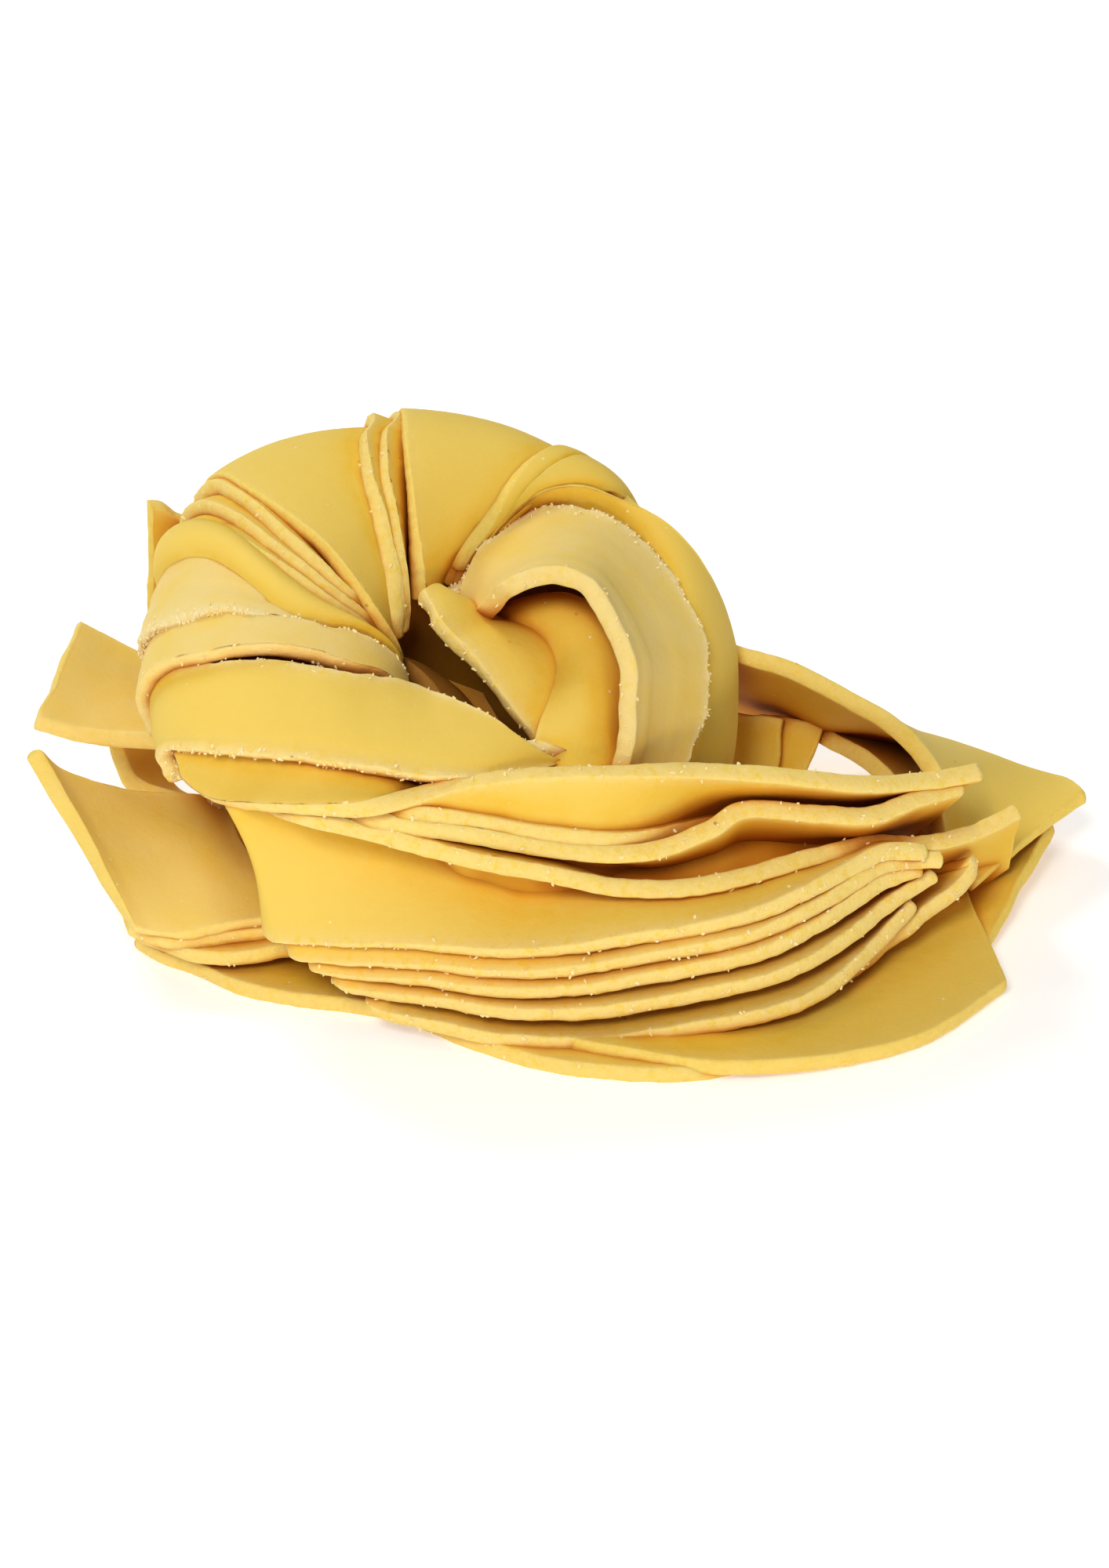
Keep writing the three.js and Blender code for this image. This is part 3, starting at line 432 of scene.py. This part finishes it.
def free_surface(noodle):
    """The same for a noodle given by its stations."""
    width = noodle.get("width", NOODLE_WIDTH)
    stations = [(*row, width) if len(row) == 5 else row for row in noodle["stations"]]
    rows = through(stations, steps_along(through(stations, FREE_CURVE_STEPS)[:, :3]))
    edge, widths = rows[:, :3], rows[:, 5]
    swing, lean = np.radians(rows[:, 3]), np.radians(rows[:, 4])
    spread = [np.sin(swing) * np.cos(lean), np.cos(swing) * np.cos(lean), np.sin(lean)]
    spread = np.stack(spread, axis=-1)
    camber = unit(np.cross(np.gradient(edge, axis=0), spread)) * noodle.get("bow", 0.0)
    share = shares_across(widths.max())
    across = spread[:, None] * (widths[:, None] * share)[..., None]
    return edge[:, None] + across + camber[:, None] * np.sin(np.pi * share)[None, :, None], share


# ---- a noodle's body ---------------------------------------------------------------------
def surface_frame(grid):
    along = np.gradient(grid, axis=0)
    across = np.gradient(grid, axis=1)
    return unit(np.cross(along, across)), unit(across), unit(along)


def side_facing_out(grid, normal):
    """1 where the normals of a noodle on the coil point out of it and -1 where they point in."""
    middle = len(grid) // 2, grid.shape[1] // 2
    return np.sign(np.dot(normal[middle], grid[middle] - np.array(COIL_CENTRE))) or 1.0


def surface_relief(noodle, grid, share, outside, seed):
    """How far a noodle's points stand off its smooth middle."""
    relief = unevenness(grid, SURFACE_WAVES, seed)
    relief = relief + outside * noodle.get("bulge", 0.0) * np.sin(np.pi * share)[None]
    fade = np.sin(np.pi * np.linspace(0.04, 0.96, len(grid)))[:, None] ** 0.5
    sway = unevenness(grid[:, :1], CREASE_SWAY, seed + 2)
    for place, depth, breadth in noodle.get("crease", ()):
        off = (share[None] - place - sway) / breadth
        relief = relief - outside * depth * fade * np.exp(-(off**2))
    return relief


def noodle_body(noodle, seed):
    """Vertices, faces and marks of one noodle, as a closed skin round its middle."""
    laid = "left" in noodle
    grid, share = band_surface(noodle) if laid else free_surface(noodle)
    normal, across, along = surface_frame(grid)
    outside = side_facing_out(grid, normal) if laid else 1.0
    grid = grid + surface_relief(noodle, grid, share, outside, seed)[..., None] * normal
    thick = 0.5 * NOODLE_THICKNESS * (1 + unevenness(grid, THICKNESS_WAVES, seed + 3))
    body = grid[:, :, None] + (thick[..., None] * LEVELS)[..., None] * normal[:, :, None]
    rounding = EDGE_ROUNDING * np.abs(LEVELS) ** 4
    raw = np.zeros(body.shape[:3])
    torn = np.zeros(body.shape[:3])
    for side, inwards in ((0, 1), (-1, -1)):
        ragged = noodle["torn"][side]
        edge = body[:, side].copy()
        outwards = -inwards * across[:, side, None]
        bite = np.maximum(unevenness(edge, TORN_BITES, seed + 4), SHALLOWEST_BITE)
        tear = TORN_DEPTH * ragged**2 * bite
        grain = EDGE_ROUGHNESS * unevenness(edge, EDGE_GRAIN, seed + 6)
        lift = ragged * unevenness(edge, EDGE_LIFT, seed + 8)
        for near, (moved, cut) in enumerate(zip(MOVED_WITH_EDGE, RAW_FROM_EDGE)):
            column = side + near * inwards
            body[:, column] -= moved * tear[..., None] * outwards
            body[:, column] += moved * lift[..., None] * normal[:, side, None]
            raw[:, column] = cut
            torn[:, column] = moved * ragged
        body[:, side] += (grain - rounding)[..., None] * outwards
    for end, sign in ((0, -1), (-1, 1)):
        raw[end] = 1.0
        out = unevenness(body[end], END_WAVES, seed + 9) - rounding
        for near, moved in enumerate(MOVED_WITH_END):
            row = end - near * sign
            body[row] += moved * sign * out[..., None] * along[row][:, None]
    floury = np.full(raw.shape, noodle.get("floury", 0.0))
    return block_skin(body, raw, torn, floury)


def block_skin(body, *marks):
    """The outer points of a block of points, the faces between them, which face out, and
    the outer points' marks."""
    sheets = {(axis, end): tuple(end if k == axis else slice(None) for k in range(3))
              for axis in range(3) for end in (0, -1)}
    outer = np.zeros(body.shape[:3], bool)
    for sheet in sheets.values():
        outer[sheet] = True
    number = np.full(outer.shape, -1)
    number[outer] = np.arange(outer.sum())
    faces = []
    for (axis, end), sheet in sheets.items():
        spot = number[sheet]
        corners = [spot[:-1, :-1], spot[1:, :-1], spot[1:, 1:], spot[:-1, 1:]]
        quads = np.stack(corners, axis=-1).reshape(-1, 4)
        turned = (end == 0) != (axis == 1)
        faces.append(quads[:, ::-1] if turned else quads)
    return body[outer], np.concatenate(faces), *(mark[outer] for mark in marks)


def in_metres(points):
    return (np.asarray(points) - np.array(NEST_MIDDLE)) * 0.001


def new_object(name, data):
    thing = bpy.data.objects.new(name, data)
    bpy.context.collection.objects.link(thing)
    return thing


def smooth_mesh(name, points, faces, finish):
    mesh = bpy.data.meshes.new(name)
    mesh.from_pydata(in_metres(points).tolist(), [], faces)
    mesh.polygons.foreach_set("use_smooth", [True] * len(mesh.polygons))
    mesh.materials.append(finish)
    mesh.update()
    return mesh


def mesh_piece(name, parts, finish):
    """One object from several (vertices, faces, *marks) parts."""
    starts = np.cumsum([0] + [len(part[0]) for part in parts])
    faces = np.concatenate([part[1] + start for part, start in zip(parts, starts)])
    mesh = smooth_mesh(name, np.concatenate([part[0] for part in parts]), faces.tolist(), finish)
    for label, marks in zip(MARKS, zip(*(part[2:] for part in parts))):
        mark = mesh.attributes.new(label, "FLOAT", "POINT")
        mark.data.foreach_set("value", np.concatenate(marks).astype(np.float32))
    return new_object(name, mesh)


# ---- groups of noodles -------------------------------------------------------------------
def stacked_bands(stack):
    """Noodles of one shape, each turned a little further round the ring than the last."""
    bands = []
    for k in range(stack["count"]):
        shift = stack["turn"] * k
        left = [(turn + shift / 2, over) for turn, over in (stack["foot"], stack["knee"])]
        left += [(turn + shift, over) for turn, over in stack["edge"]]
        right = [(turn - STACK_OVERLAP, over) for turn, over in left]
        left_lift = (stack["lift"] + stack["lift_step"] * k, STACK_END_LIFT)
        right_lift = (stack["under"], stack["under"])
        bands.append(dict(left=left, right=right, torn=STACK_TORN,
                          left_lift=left_lift, right_lift=right_lift))
    return bands


def lower_fan():
    """The stack of noodles between the fan's top and bottom, each cut at its own length."""
    top, bottom = np.array(LOWER_FAN_TOP, float), np.array(LOWER_FAN_BOTTOM, float)
    fan = []
    for start, end, kept in LOWER_FAN:
        depth = np.linspace(start, end, len(top))[:, None]
        rows = through(top + (bottom - top) * depth, FREE_CURVE_STEPS)
        rows = rows[:round(FREE_CURVE_STEPS * kept) + 1:LOWER_FAN_STEP]
        bow = LOWER_FAN_TOP_BOW if start == 0 else 0.0
        fan.append(dict(stations=rows.tolist(), bow=bow, torn=LOWER_FAN_TORN))
    return fan


# ---- the core inside the noodles ---------------------------------------------------------
def core_body():
    """Points and faces of a closed body of rings: foot, wall, rim, crest and the eye's well."""
    turns = np.arange(CORE_SIDES) * 360.0 / CORE_SIDES
    out = outward_on_floor(turns)
    rim_inset = round_ring(CORE_INSET_RIM, turns)
    foot_inset = round_ring(CORE_INSET_FOOT, turns) + CORE_FOOT_SETBACK - round_ring(SKIRT_TUCK, turns)
    foot = coil_point(turns, CORE_FOOT_LEVEL, 0.0) - out * foot_inset[:, None]
    foot[:, 2] = 0
    rim = coil_point(turns, 0.0, 0.0) - out * rim_inset[:, None]
    rings = [foot]
    for part in CORE_WALL_SHARES:
        ring = foot + (rim - foot) * part
        ring[:, 2] = rim[:, 2] * part
        rings.append(ring)
    rings.append(rim)
    fades_from, fades_over = CORE_INSET_FADES
    for over, lift in CORE_ROWS:
        left = 1 - np.clip((over - fades_from) / fades_over, 0, 1)
        inset = (rim_inset - CORE_LEAST_INSET) * left
        rings.append(coil_point(turns, over, lift) - out * inset[:, None])
    eye = np.array(COIL_CENTRE) + np.array(WELL_OFF_CENTRE)
    well = coil_point(turns, *WELL_EDGE)
    well = well + (eye - well) * WELL_NARROWING
    well[:, 2] = EYE_FLOOR
    for part in WELL_SHARES:
        rings.append(rings[-1] + (well - rings[-1]) * part)
    rings.append(well)
    points = np.concatenate(rings + [foot.mean(axis=0)[None], well.mean(axis=0)[None]])
    floor, deep = len(points) - 2, len(points) - 1
    top = (len(rings) - 1) * CORE_SIDES
    sides = [(k, (k + 1) % CORE_SIDES) for k in range(CORE_SIDES)]
    faces = [(low + a, low + b, low + CORE_SIDES + b, low + CORE_SIDES + a)
             for low in range(0, top, CORE_SIDES) for a, b in sides]
    faces += [(b, a, floor) for a, b in sides]
    faces += [(top + a, top + b, deep) for a, b in sides]
    return points, faces


# ---- finishes ----------------------------------------------------------------------------
DOUGH = (0.80, 0.50, 0.035)
DOUGH_PALE = (0.82, 0.59, 0.12)
DOUGH_DEEP = (0.78, 0.45, 0.02)
# painted shade: deep orange put into the crevices between the noodles, where they shade each other
PAINTED_CREVICE_SHADE = (0.78, 0.25, 0.002)
# painted shade: the dark brown of the eye's shadowed hole
PAINTED_HOLE_SHADE = (0.34, 0.09, 0.003)
CUT_DOUGH = (0.85, 0.62, 0.12)
CRUMB = (0.88, 0.72, 0.38)
BRAN_SPECK = (0.30, 0.13, 0.03)
FLOUR = (0.92, 0.84, 0.62)
DUSTED = (0.82, 0.65, 0.30)
FLOOR_COLOURS = (0.86, 0.86, 0.86), (0.9, 0.9, 0.9)
DOUGH_SURFACE = {"Roughness": 0.68, "Specular IOR Level": 0.15, "Subsurface Weight": 0.2,
                 "Subsurface Radius": (1.0, 0.6, 0.2), "Subsurface Scale": 0.001}
# painted light: open places are paled, as if more light falls on them
PAINTED_LIGHT_ABOVE = (0.75, 1.0)               # openness where this colour starts and where it is full
CREVICE_SHADE_BELOW = (0.15, 0.62)           # openness where this colour is full and where it ends
HOLE_SHADE_BELOW = (0.15, 0.5)
PAINTED_LIGHT_SHARE = 0.85
MOTTLE = 0.35
SPECK_SHARE = 0.6
# how far the noodles deep in the eye and the core are painted with the hole's shade
EYE_HOLE_SHADE = 0.8


class Nodes:
    """A new material and short hand for its nodes."""

    def __init__(self, name):
        self.material = bpy.data.materials.new(name)
        self.material.use_nodes = True
        self.tree = self.material.node_tree
        self.shader = self.tree.nodes["Principled BSDF"]
        self.place = self.add("ShaderNodeTexCoord").outputs["Object"]

    def add(self, kind, **values):
        node = self.tree.nodes.new(kind)
        for key, value in values.items():
            setattr(node, key, value)
        return node

    def feed(self, socket, value):
        """Gives a socket a number, a colour or what another node puts out."""
        if isinstance(value, (int, float)):
            socket.default_value = value
        elif isinstance(value, tuple):
            socket.default_value = (*value, 1.0)
        else:
            self.tree.links.new(value, socket)

    def noise(self, size, detail=2.0, roughness=0.5):
        """Noise whose patches are about size millimetres."""
        node = self.add("ShaderNodeTexNoise")
        node.inputs["Scale"].default_value = 1000.0 / size
        node.inputs["Detail"].default_value = detail
        node.inputs["Roughness"].default_value = roughness
        self.feed(node.inputs["Vector"], self.place)
        return node.outputs["Fac"]

    def dots(self, spacing, radius, softness=0.02):
        """1 in scattered dots and 0 between them."""
        node = self.add("ShaderNodeTexVoronoi")
        node.inputs["Scale"].default_value = 1000.0 / spacing
        self.feed(node.inputs["Vector"], self.place)
        return self.span(node.outputs["Distance"], radius, radius + softness, 1.0, 0.0)

    def span(self, value, low, high, at_low=0.0, at_high=1.0):
        """What goes evenly from at_low to at_high while the value goes from low to high."""
        node = self.add("ShaderNodeMapRange")
        node.inputs["From Min"].default_value = low
        node.inputs["From Max"].default_value = high
        node.inputs["To Min"].default_value = at_low
        node.inputs["To Max"].default_value = at_high
        self.feed(node.inputs["Value"], value)
        return node.outputs["Result"]

    def mark(self, label):
        return self.add("ShaderNodeAttribute", attribute_name=label).outputs["Fac"]

    def times(self, a, b):
        node = self.add("ShaderNodeMath", operation="MULTIPLY")
        self.feed(node.inputs[0], a)
        self.feed(node.inputs[1], b)
        return node.outputs[0]

    def blend(self, share, a, b):
        """Colour a where share is 0 and b where it is 1."""
        node = self.add("ShaderNodeMix", data_type="RGBA")
        self.feed(node.inputs[0], share)
        self.feed(node.inputs[6], a)
        self.feed(node.inputs[7], b)
        return node.outputs[2]

    def bump(self, height, depth, strength, under=None):
        """Bumps of about depth millimetres on top of those under them."""
        node = self.add("ShaderNodeBump")
        node.inputs["Distance"].default_value = depth * 0.001
        node.inputs["Strength"].default_value = strength
        self.feed(node.inputs["Height"], height)
        if under is not None:
            self.feed(node.inputs["Normal"], under)
        return node.outputs["Normal"]


def dough_finish(name, deep=0.0):
    """Dough that is pale and flaky where it is cut, with painted light paling it where it lies open and
    painted shade deepening it where it is shut in. deep is how far all of it is painted with the shade
    of the eye's dark hole."""
    n = Nodes(name)
    raw, torn, openness = n.mark("raw"), n.mark("torn"), n.mark("openness")
    patches = n.span(n.noise(size=16.0, detail=3.0), 0.35, 0.65)
    colour = n.blend(patches, DOUGH_DEEP, DOUGH_PALE)
    colour = n.blend(0.5, colour, DOUGH)
    mottle = n.span(n.noise(size=1.6, detail=4.0, roughness=0.65), 0.3, 0.7)
    colour = n.blend(n.times(mottle, MOTTLE), colour, DOUGH_PALE)
    # painted light: paler where a point lies open
    colour = n.blend(n.span(openness, *PAINTED_LIGHT_ABOVE, at_high=PAINTED_LIGHT_SHARE), colour, DOUGH_PALE)
    rough = n.span(n.noise(size=0.7, detail=3.0, roughness=0.7), 0.35, 0.6, at_low=0.45)
    colour = n.blend(n.times(raw, rough), colour, CUT_DOUGH)
    flakes = n.span(n.noise(size=0.9, detail=4.0, roughness=0.7), 0.35, 0.5)
    colour = n.blend(n.times(torn, flakes), colour, CRUMB)
    dusting = n.span(n.noise(size=5.0, detail=3.0), 0.35, 0.6, at_low=0.35)
    colour = n.blend(n.times(n.mark("floury"), dusting), colour, DUSTED)
    # painted shade: deepens the colour where a point lies shut in between noodles
    colour = n.blend(n.span(openness, *CREVICE_SHADE_BELOW, at_low=1.0, at_high=0.0), colour, PAINTED_CREVICE_SHADE)
    # painted shade: darkest where a point lies deepest in a hole
    colour = n.blend(n.span(openness, *HOLE_SHADE_BELOW, at_low=1.0, at_high=0.0), colour, PAINTED_HOLE_SHADE)
    # painted shade: the eye's dark hole, laid over the whole finish as far as deep says
    colour = n.blend(deep, colour, PAINTED_HOLE_SHADE)
    bran = n.times(n.dots(spacing=4.2, radius=0.035), n.span(n.noise(size=9.0), 0.52, 0.56))
    colour = n.blend(n.times(bran, SPECK_SHARE), colour, BRAN_SPECK)
    flour = n.times(n.dots(spacing=2.3, radius=0.045), n.span(n.noise(size=6.0, detail=1.0), 0.5, 0.56))
    colour = n.blend(n.times(flour, SPECK_SHARE), colour, FLOUR)
    n.feed(n.shader.inputs["Base Color"], colour)
    for label, value in DOUGH_SURFACE.items():
        n.shader.inputs[label].default_value = value
    fine = n.bump(n.noise(size=0.35, detail=3.0, roughness=0.6), depth=0.05, strength=0.6)
    pits = n.bump(n.noise(size=1.3, detail=4.0, roughness=0.6), depth=0.12, strength=0.5, under=fine)
    cuts = n.times(n.noise(size=0.6, detail=4.0, roughness=0.7), raw)
    n.feed(n.shader.inputs["Normal"], n.bump(cuts, depth=0.16, strength=0.8, under=pits))
    return n.material


def plain_finish(name, size, colours, roughness):
    """The nodes of a finish whose patches of about size millimetres lie between two colours."""
    n = Nodes(name)
    n.feed(n.shader.inputs["Base Color"], n.blend(n.noise(size), *colours))
    n.shader.inputs["Roughness"].default_value = roughness
    return n


def rays_all_round():
    """Directions spread evenly over a ball, on a spiral."""
    step = np.arange(OPENNESS_RAYS) + 0.5
    height = 1 - 2 * step / OPENNESS_RAYS
    turn = step * np.pi * (3 - 5**0.5)
    flat = np.sqrt(1 - height**2)
    return np.stack([flat * np.cos(turn), flat * np.sin(turn), height], axis=-1)


def mark_openness(pieces):
    """Marks each point of the pieces with how open it lies, from 0 in a crevice to 1 in the open, and
    less open where it faces down, so that painted shade can deepen the dough's colour between and under
    the noodles and painted light can pale it in the open."""
    points, faces = [], []
    for piece in pieces:
        start = len(points)
        points.extend(vertex.co[:] for vertex in piece.data.vertices)
        faces.extend([start + corner for corner in face.vertices] for face in piece.data.polygons)
    nest = BVHTree.FromPolygons(points, faces)
    rays = rays_all_round()
    reach = OPENNESS_REACH * 0.001
    for piece in pieces:
        mesh = piece.data
        normals = np.array([normal.vector[:] for normal in mesh.vertex_normals])
        facing = normals @ rays.T
        open_share = np.zeros(len(normals))
        for number, (vertex, normal) in enumerate(zip(mesh.vertices, normals)):
            start = vertex.co + Vector(normal) * (RAY_START * 0.001)
            total = seen = 0.0
            for k in np.flatnonzero(facing[number] > FLATTEST_RAY):
                weight = facing[number, k]
                total += weight
                distance = nest.ray_cast(start, Vector(rays[k]), reach)[3]
                seen += weight if distance is None else weight * distance / reach
            open_share[number] = seen / max(total, 1e-6)
        # painted shade under things: surfaces that face down count as less open
        open_share *= 1 - UNDERSIDE_SHADE_SHARE * np.clip(UNDERSIDE_FROM - normals[:, 2], 0, 1)
        ends = np.array([edge.vertices[:] for edge in mesh.edges])
        count = np.bincount(ends.ravel(), minlength=len(open_share)) + 1.0
        for _ in range(OPENNESS_SMOOTHING):
            around = open_share.copy()
            np.add.at(around, ends[:, 0], open_share[ends[:, 1]])
            np.add.at(around, ends[:, 1], open_share[ends[:, 0]])
            open_share = around / count
        mark = mesh.attributes.new("openness", "FLOAT", "POINT")
        mark.data.foreach_set("value", open_share.astype(np.float32))


# ---- crumbs along the cut edges ----------------------------------------------------------
CRUMB_INPUTS = {"Crumbs per square metre": 4.5e6, "Crumb size": 0.00025, "Seed": 4}
CRUMBS_TO_TORN_PLACES = 3.0            # power: the higher, the more they gather there
CRUMB_TURNS = (0.0, 0.0, 0.0), (6.3, 6.3, 6.3)             # least and most, in radians
CRUMB_STRETCHES = (0.35, 0.3, 0.25), (1.6, 0.9, 0.7)       # least and most, in crumb sizes


def crumb_tree(finish):
    """Small uneven crumbs strewn where the cut edges are torn."""
    tree = bpy.data.node_groups.new("crumbs_on_cut_edges", "GeometryNodeTree")
    face = tree.interface
    face.new_socket("Geometry", in_out="INPUT", socket_type="NodeSocketGeometry")
    for label, value in CRUMB_INPUTS.items():
        kind = "NodeSocketInt" if isinstance(value, int) else "NodeSocketFloat"
        face.new_socket(label, in_out="INPUT", socket_type=kind).default_value = value
    face.new_socket("Geometry", in_out="OUTPUT", socket_type="NodeSocketGeometry")

    def add(kind, **values):
        node = tree.nodes.new(kind)
        for key, value in values.items():
            setattr(node, key, value)
        return node

    link = tree.links.new
    given, result = add("NodeGroupInput"), add("NodeGroupOutput")

    def random_between(least, most):
        node = add("FunctionNodeRandomValue", data_type="FLOAT_VECTOR")
        node.inputs["Min"].default_value = least
        node.inputs["Max"].default_value = most
        link(given.outputs["Seed"], node.inputs["Seed"])
        return node.outputs["Value"]

    torn = add("GeometryNodeInputNamedAttribute", data_type="FLOAT")
    torn.inputs["Name"].default_value = "torn"
    power = add("ShaderNodeMath", operation="POWER")
    power.inputs[1].default_value = CRUMBS_TO_TORN_PLACES
    link(torn.outputs["Attribute"], power.inputs[0])
    density = add("ShaderNodeMath", operation="MULTIPLY")
    link(power.outputs[0], density.inputs[0])
    link(given.outputs["Crumbs per square metre"], density.inputs[1])
    strew = add("GeometryNodeDistributePointsOnFaces")
    link(given.outputs["Geometry"], strew.inputs["Mesh"])
    link(density.outputs[0], strew.inputs["Density"])
    link(given.outputs["Seed"], strew.inputs["Seed"])
    crumb = add("GeometryNodeMeshIcoSphere")
    crumb.inputs["Subdivisions"].default_value = 1
    link(given.outputs["Crumb size"], crumb.inputs["Radius"])
    place = add("GeometryNodeInstanceOnPoints")
    link(strew.outputs["Points"], place.inputs["Points"])
    link(crumb.outputs["Mesh"], place.inputs["Instance"])
    link(random_between(*CRUMB_TURNS), place.inputs["Rotation"])
    link(random_between(*CRUMB_STRETCHES), place.inputs["Scale"])
    loose = add("GeometryNodeRealizeInstances")
    link(place.outputs["Instances"], loose.inputs["Geometry"])
    dress = add("GeometryNodeSetMaterial")
    dress.inputs["Material"].default_value = finish
    link(loose.outputs["Geometry"], dress.inputs["Geometry"])
    link(dress.outputs["Geometry"], result.inputs["Geometry"])
    return tree


def strewn_crumbs(name, noodles, tree, finish, seed):
    """A plain mesh of the crumbs that the tree strews over the noodles' torn edges."""
    carrier = new_object(name + "_carrier", noodles.data)
    strew = carrier.modifiers.new("crumbs", "NODES")
    strew.node_group = tree
    sockets = {item.name: item.identifier for item in tree.interface.items_tree}
    strew[sockets["Seed"]] = seed
    evaluated = carrier.evaluated_get(bpy.context.evaluated_depsgraph_get())
    mesh = bpy.data.meshes.new_from_object(evaluated)
    bpy.data.objects.remove(carrier)
    mesh.name = name
    mesh.materials.clear()
    mesh.materials.append(finish)
    return new_object(name, mesh)


# ---- the nest ----------------------------------------------------------------------------
# The noodles deep in the eye, and the core, take a finish painted with the shade of the eye's dark hole.
DEEP_GROUP = "noodles_deep_in_the_eye"
GROUPS = {
    "coil_noodles_left": COIL_LEFT + stacked_bands(LEFT_STACK),
    "coil_noodles_back": COIL_BACK + stacked_bands(BACK_STACK),
    "collar_and_eye_noodles": [COLLAR, EYE_CURL, EYE_RIDGE],
    DEEP_GROUP: EYE_DEPTH,
    "upper_fan_noodles": [FRONT_TWIST] + UPPER_FAN,
    "lower_fan_noodles": lower_fan() + [STRAY_END],
    "floor_noodles": FLOOR_NOODLES,
    "right_tail_noodles": RIGHT_TAILS + STANDING_ENDS,
    "left_tail_noodles": LEFT_TAILS,
}
SEED_STEP = 20                         # a noodle uses fewer seeds of its own than this
FIRST_CRUMB_SEED = 3

dough = dough_finish("dried_egg_dough")
shaded_eye_dough = dough_finish("dough_painted_with_eye_hole_shade", EYE_HOLE_SHADE)
pieces = []
seed = 1
for group, noodles in GROUPS.items():
    parts = []
    for noodle in noodles:
        parts.append(noodle_body(noodle, seed))
        seed += SEED_STEP
    pieces.append(mesh_piece(group, parts, shaded_eye_dough if group == DEEP_GROUP else dough))

crumbed = [piece for piece in pieces if piece.name != DEEP_GROUP]
# the core is painted with the shade of the eye's dark hole
core_mesh = smooth_mesh("inner_noodle_turns", *core_body(), shaded_eye_dough)
pieces.append(new_object("inner_noodle_turns", core_mesh))
mark_openness(pieces)

crumbs = plain_finish("pale_crumbs", 0.5, (CUT_DOUGH, FLOUR), 0.8).material
tree = crumb_tree(crumbs)
for number, noodles in enumerate(crumbed):
    name = f"edge_crumbs_{number + 1}"
    pieces.append(strewn_crumbs(name, noodles, tree, crumbs, number + FIRST_CRUMB_SEED))

for piece in pieces:
    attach(piece, "root")
    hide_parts("pasta_nest")

# ---- floor, light and camera, in metres and watts ----------------------------------------
FLOOR_REACH = 3.0
FLOOR_GLOW = 0.35
ROOM_LIGHT = 0.33
SOFTBOXES = {
    "key_light": dict(place=(-0.15, -0.48, 0.55), aim=(0, 0, 0.02), size=0.24, power=2.55,
                      colour=(1.0, 0.99, 0.97)),
    "low_fill": dict(place=(0.14, -0.5, 0.07), aim=(0, 0, 0.015), size=0.1, power=0.5,
                     colour=(1.0, 0.84, 0.55)),
    "back_light": dict(place=(-0.35, 0.42, 0.58), aim=(0, 0, 0.02), size=0.3, power=2.4,
                       colour=(1.0, 1.0, 1.0)),
}

floor_finish = plain_finish("pale_floor", 90.0, FLOOR_COLOURS, 0.7)
floor_finish.feed(floor_finish.shader.inputs["Emission Color"], (1.0, 1.0, 1.0))
floor_finish.feed(floor_finish.shader.inputs["Emission Strength"], FLOOR_GLOW)
corners = [(x * FLOOR_REACH, y * FLOOR_REACH, 0) for x, y in ((-1, -1), (1, -1), (1, 1), (-1, 1))]
floor_mesh = bpy.data.meshes.new("floor")
floor_mesh.from_pydata(corners, [], [(0, 1, 2, 3)])
floor_mesh.materials.append(floor_finish.material)
floor = new_object("floor", floor_mesh)


def softbox(name, place, aim, size, power, colour):
    light = bpy.data.lights.new(name, "AREA")
    light.shape = "DISK"
    light.size = size
    light.energy = power
    light.color = colour
    lamp = new_object(name, light)
    lamp.location = place
    lamp.rotation_euler = (Vector(aim) - Vector(place)).to_track_quat("-Z", "Y").to_euler()


for name, settings in SOFTBOXES.items():
    softbox(name, **settings)

world = bpy.data.worlds.new("pale_room")
bpy.context.scene.world = world
world.use_nodes = True
world.node_tree.nodes["Background"].inputs["Color"].default_value = (1, 1, 1, 1)
world.node_tree.nodes["Background"].inputs["Strength"].default_value = ROOM_LIGHT
bpy.context.scene.view_settings.view_transform = "Standard"

VIEW_DOWN = 32.0                       # degrees
VIEW_DISTANCE = 400.0                  # this and the aim in millimetres, as the nest's sizes
VIEW_AIM = np.array((0.0, 0.0, 16.0))
VIEW_LENS = 97.2
VIEW_SENSOR = 36.0
camera = new_object("camera", bpy.data.cameras.new("camera"))
camera.data.lens = VIEW_LENS
camera.data.sensor_width = VIEW_SENSOR
camera.data.clip_start = 0.01
forward = np.array((0.0, np.cos(radians(VIEW_DOWN)), -np.sin(radians(VIEW_DOWN))))
camera.location = in_metres(VIEW_AIM - VIEW_DISTANCE * forward)
camera.rotation_euler = (radians(90 - VIEW_DOWN), 0, 0)
bpy.context.scene.camera = camera
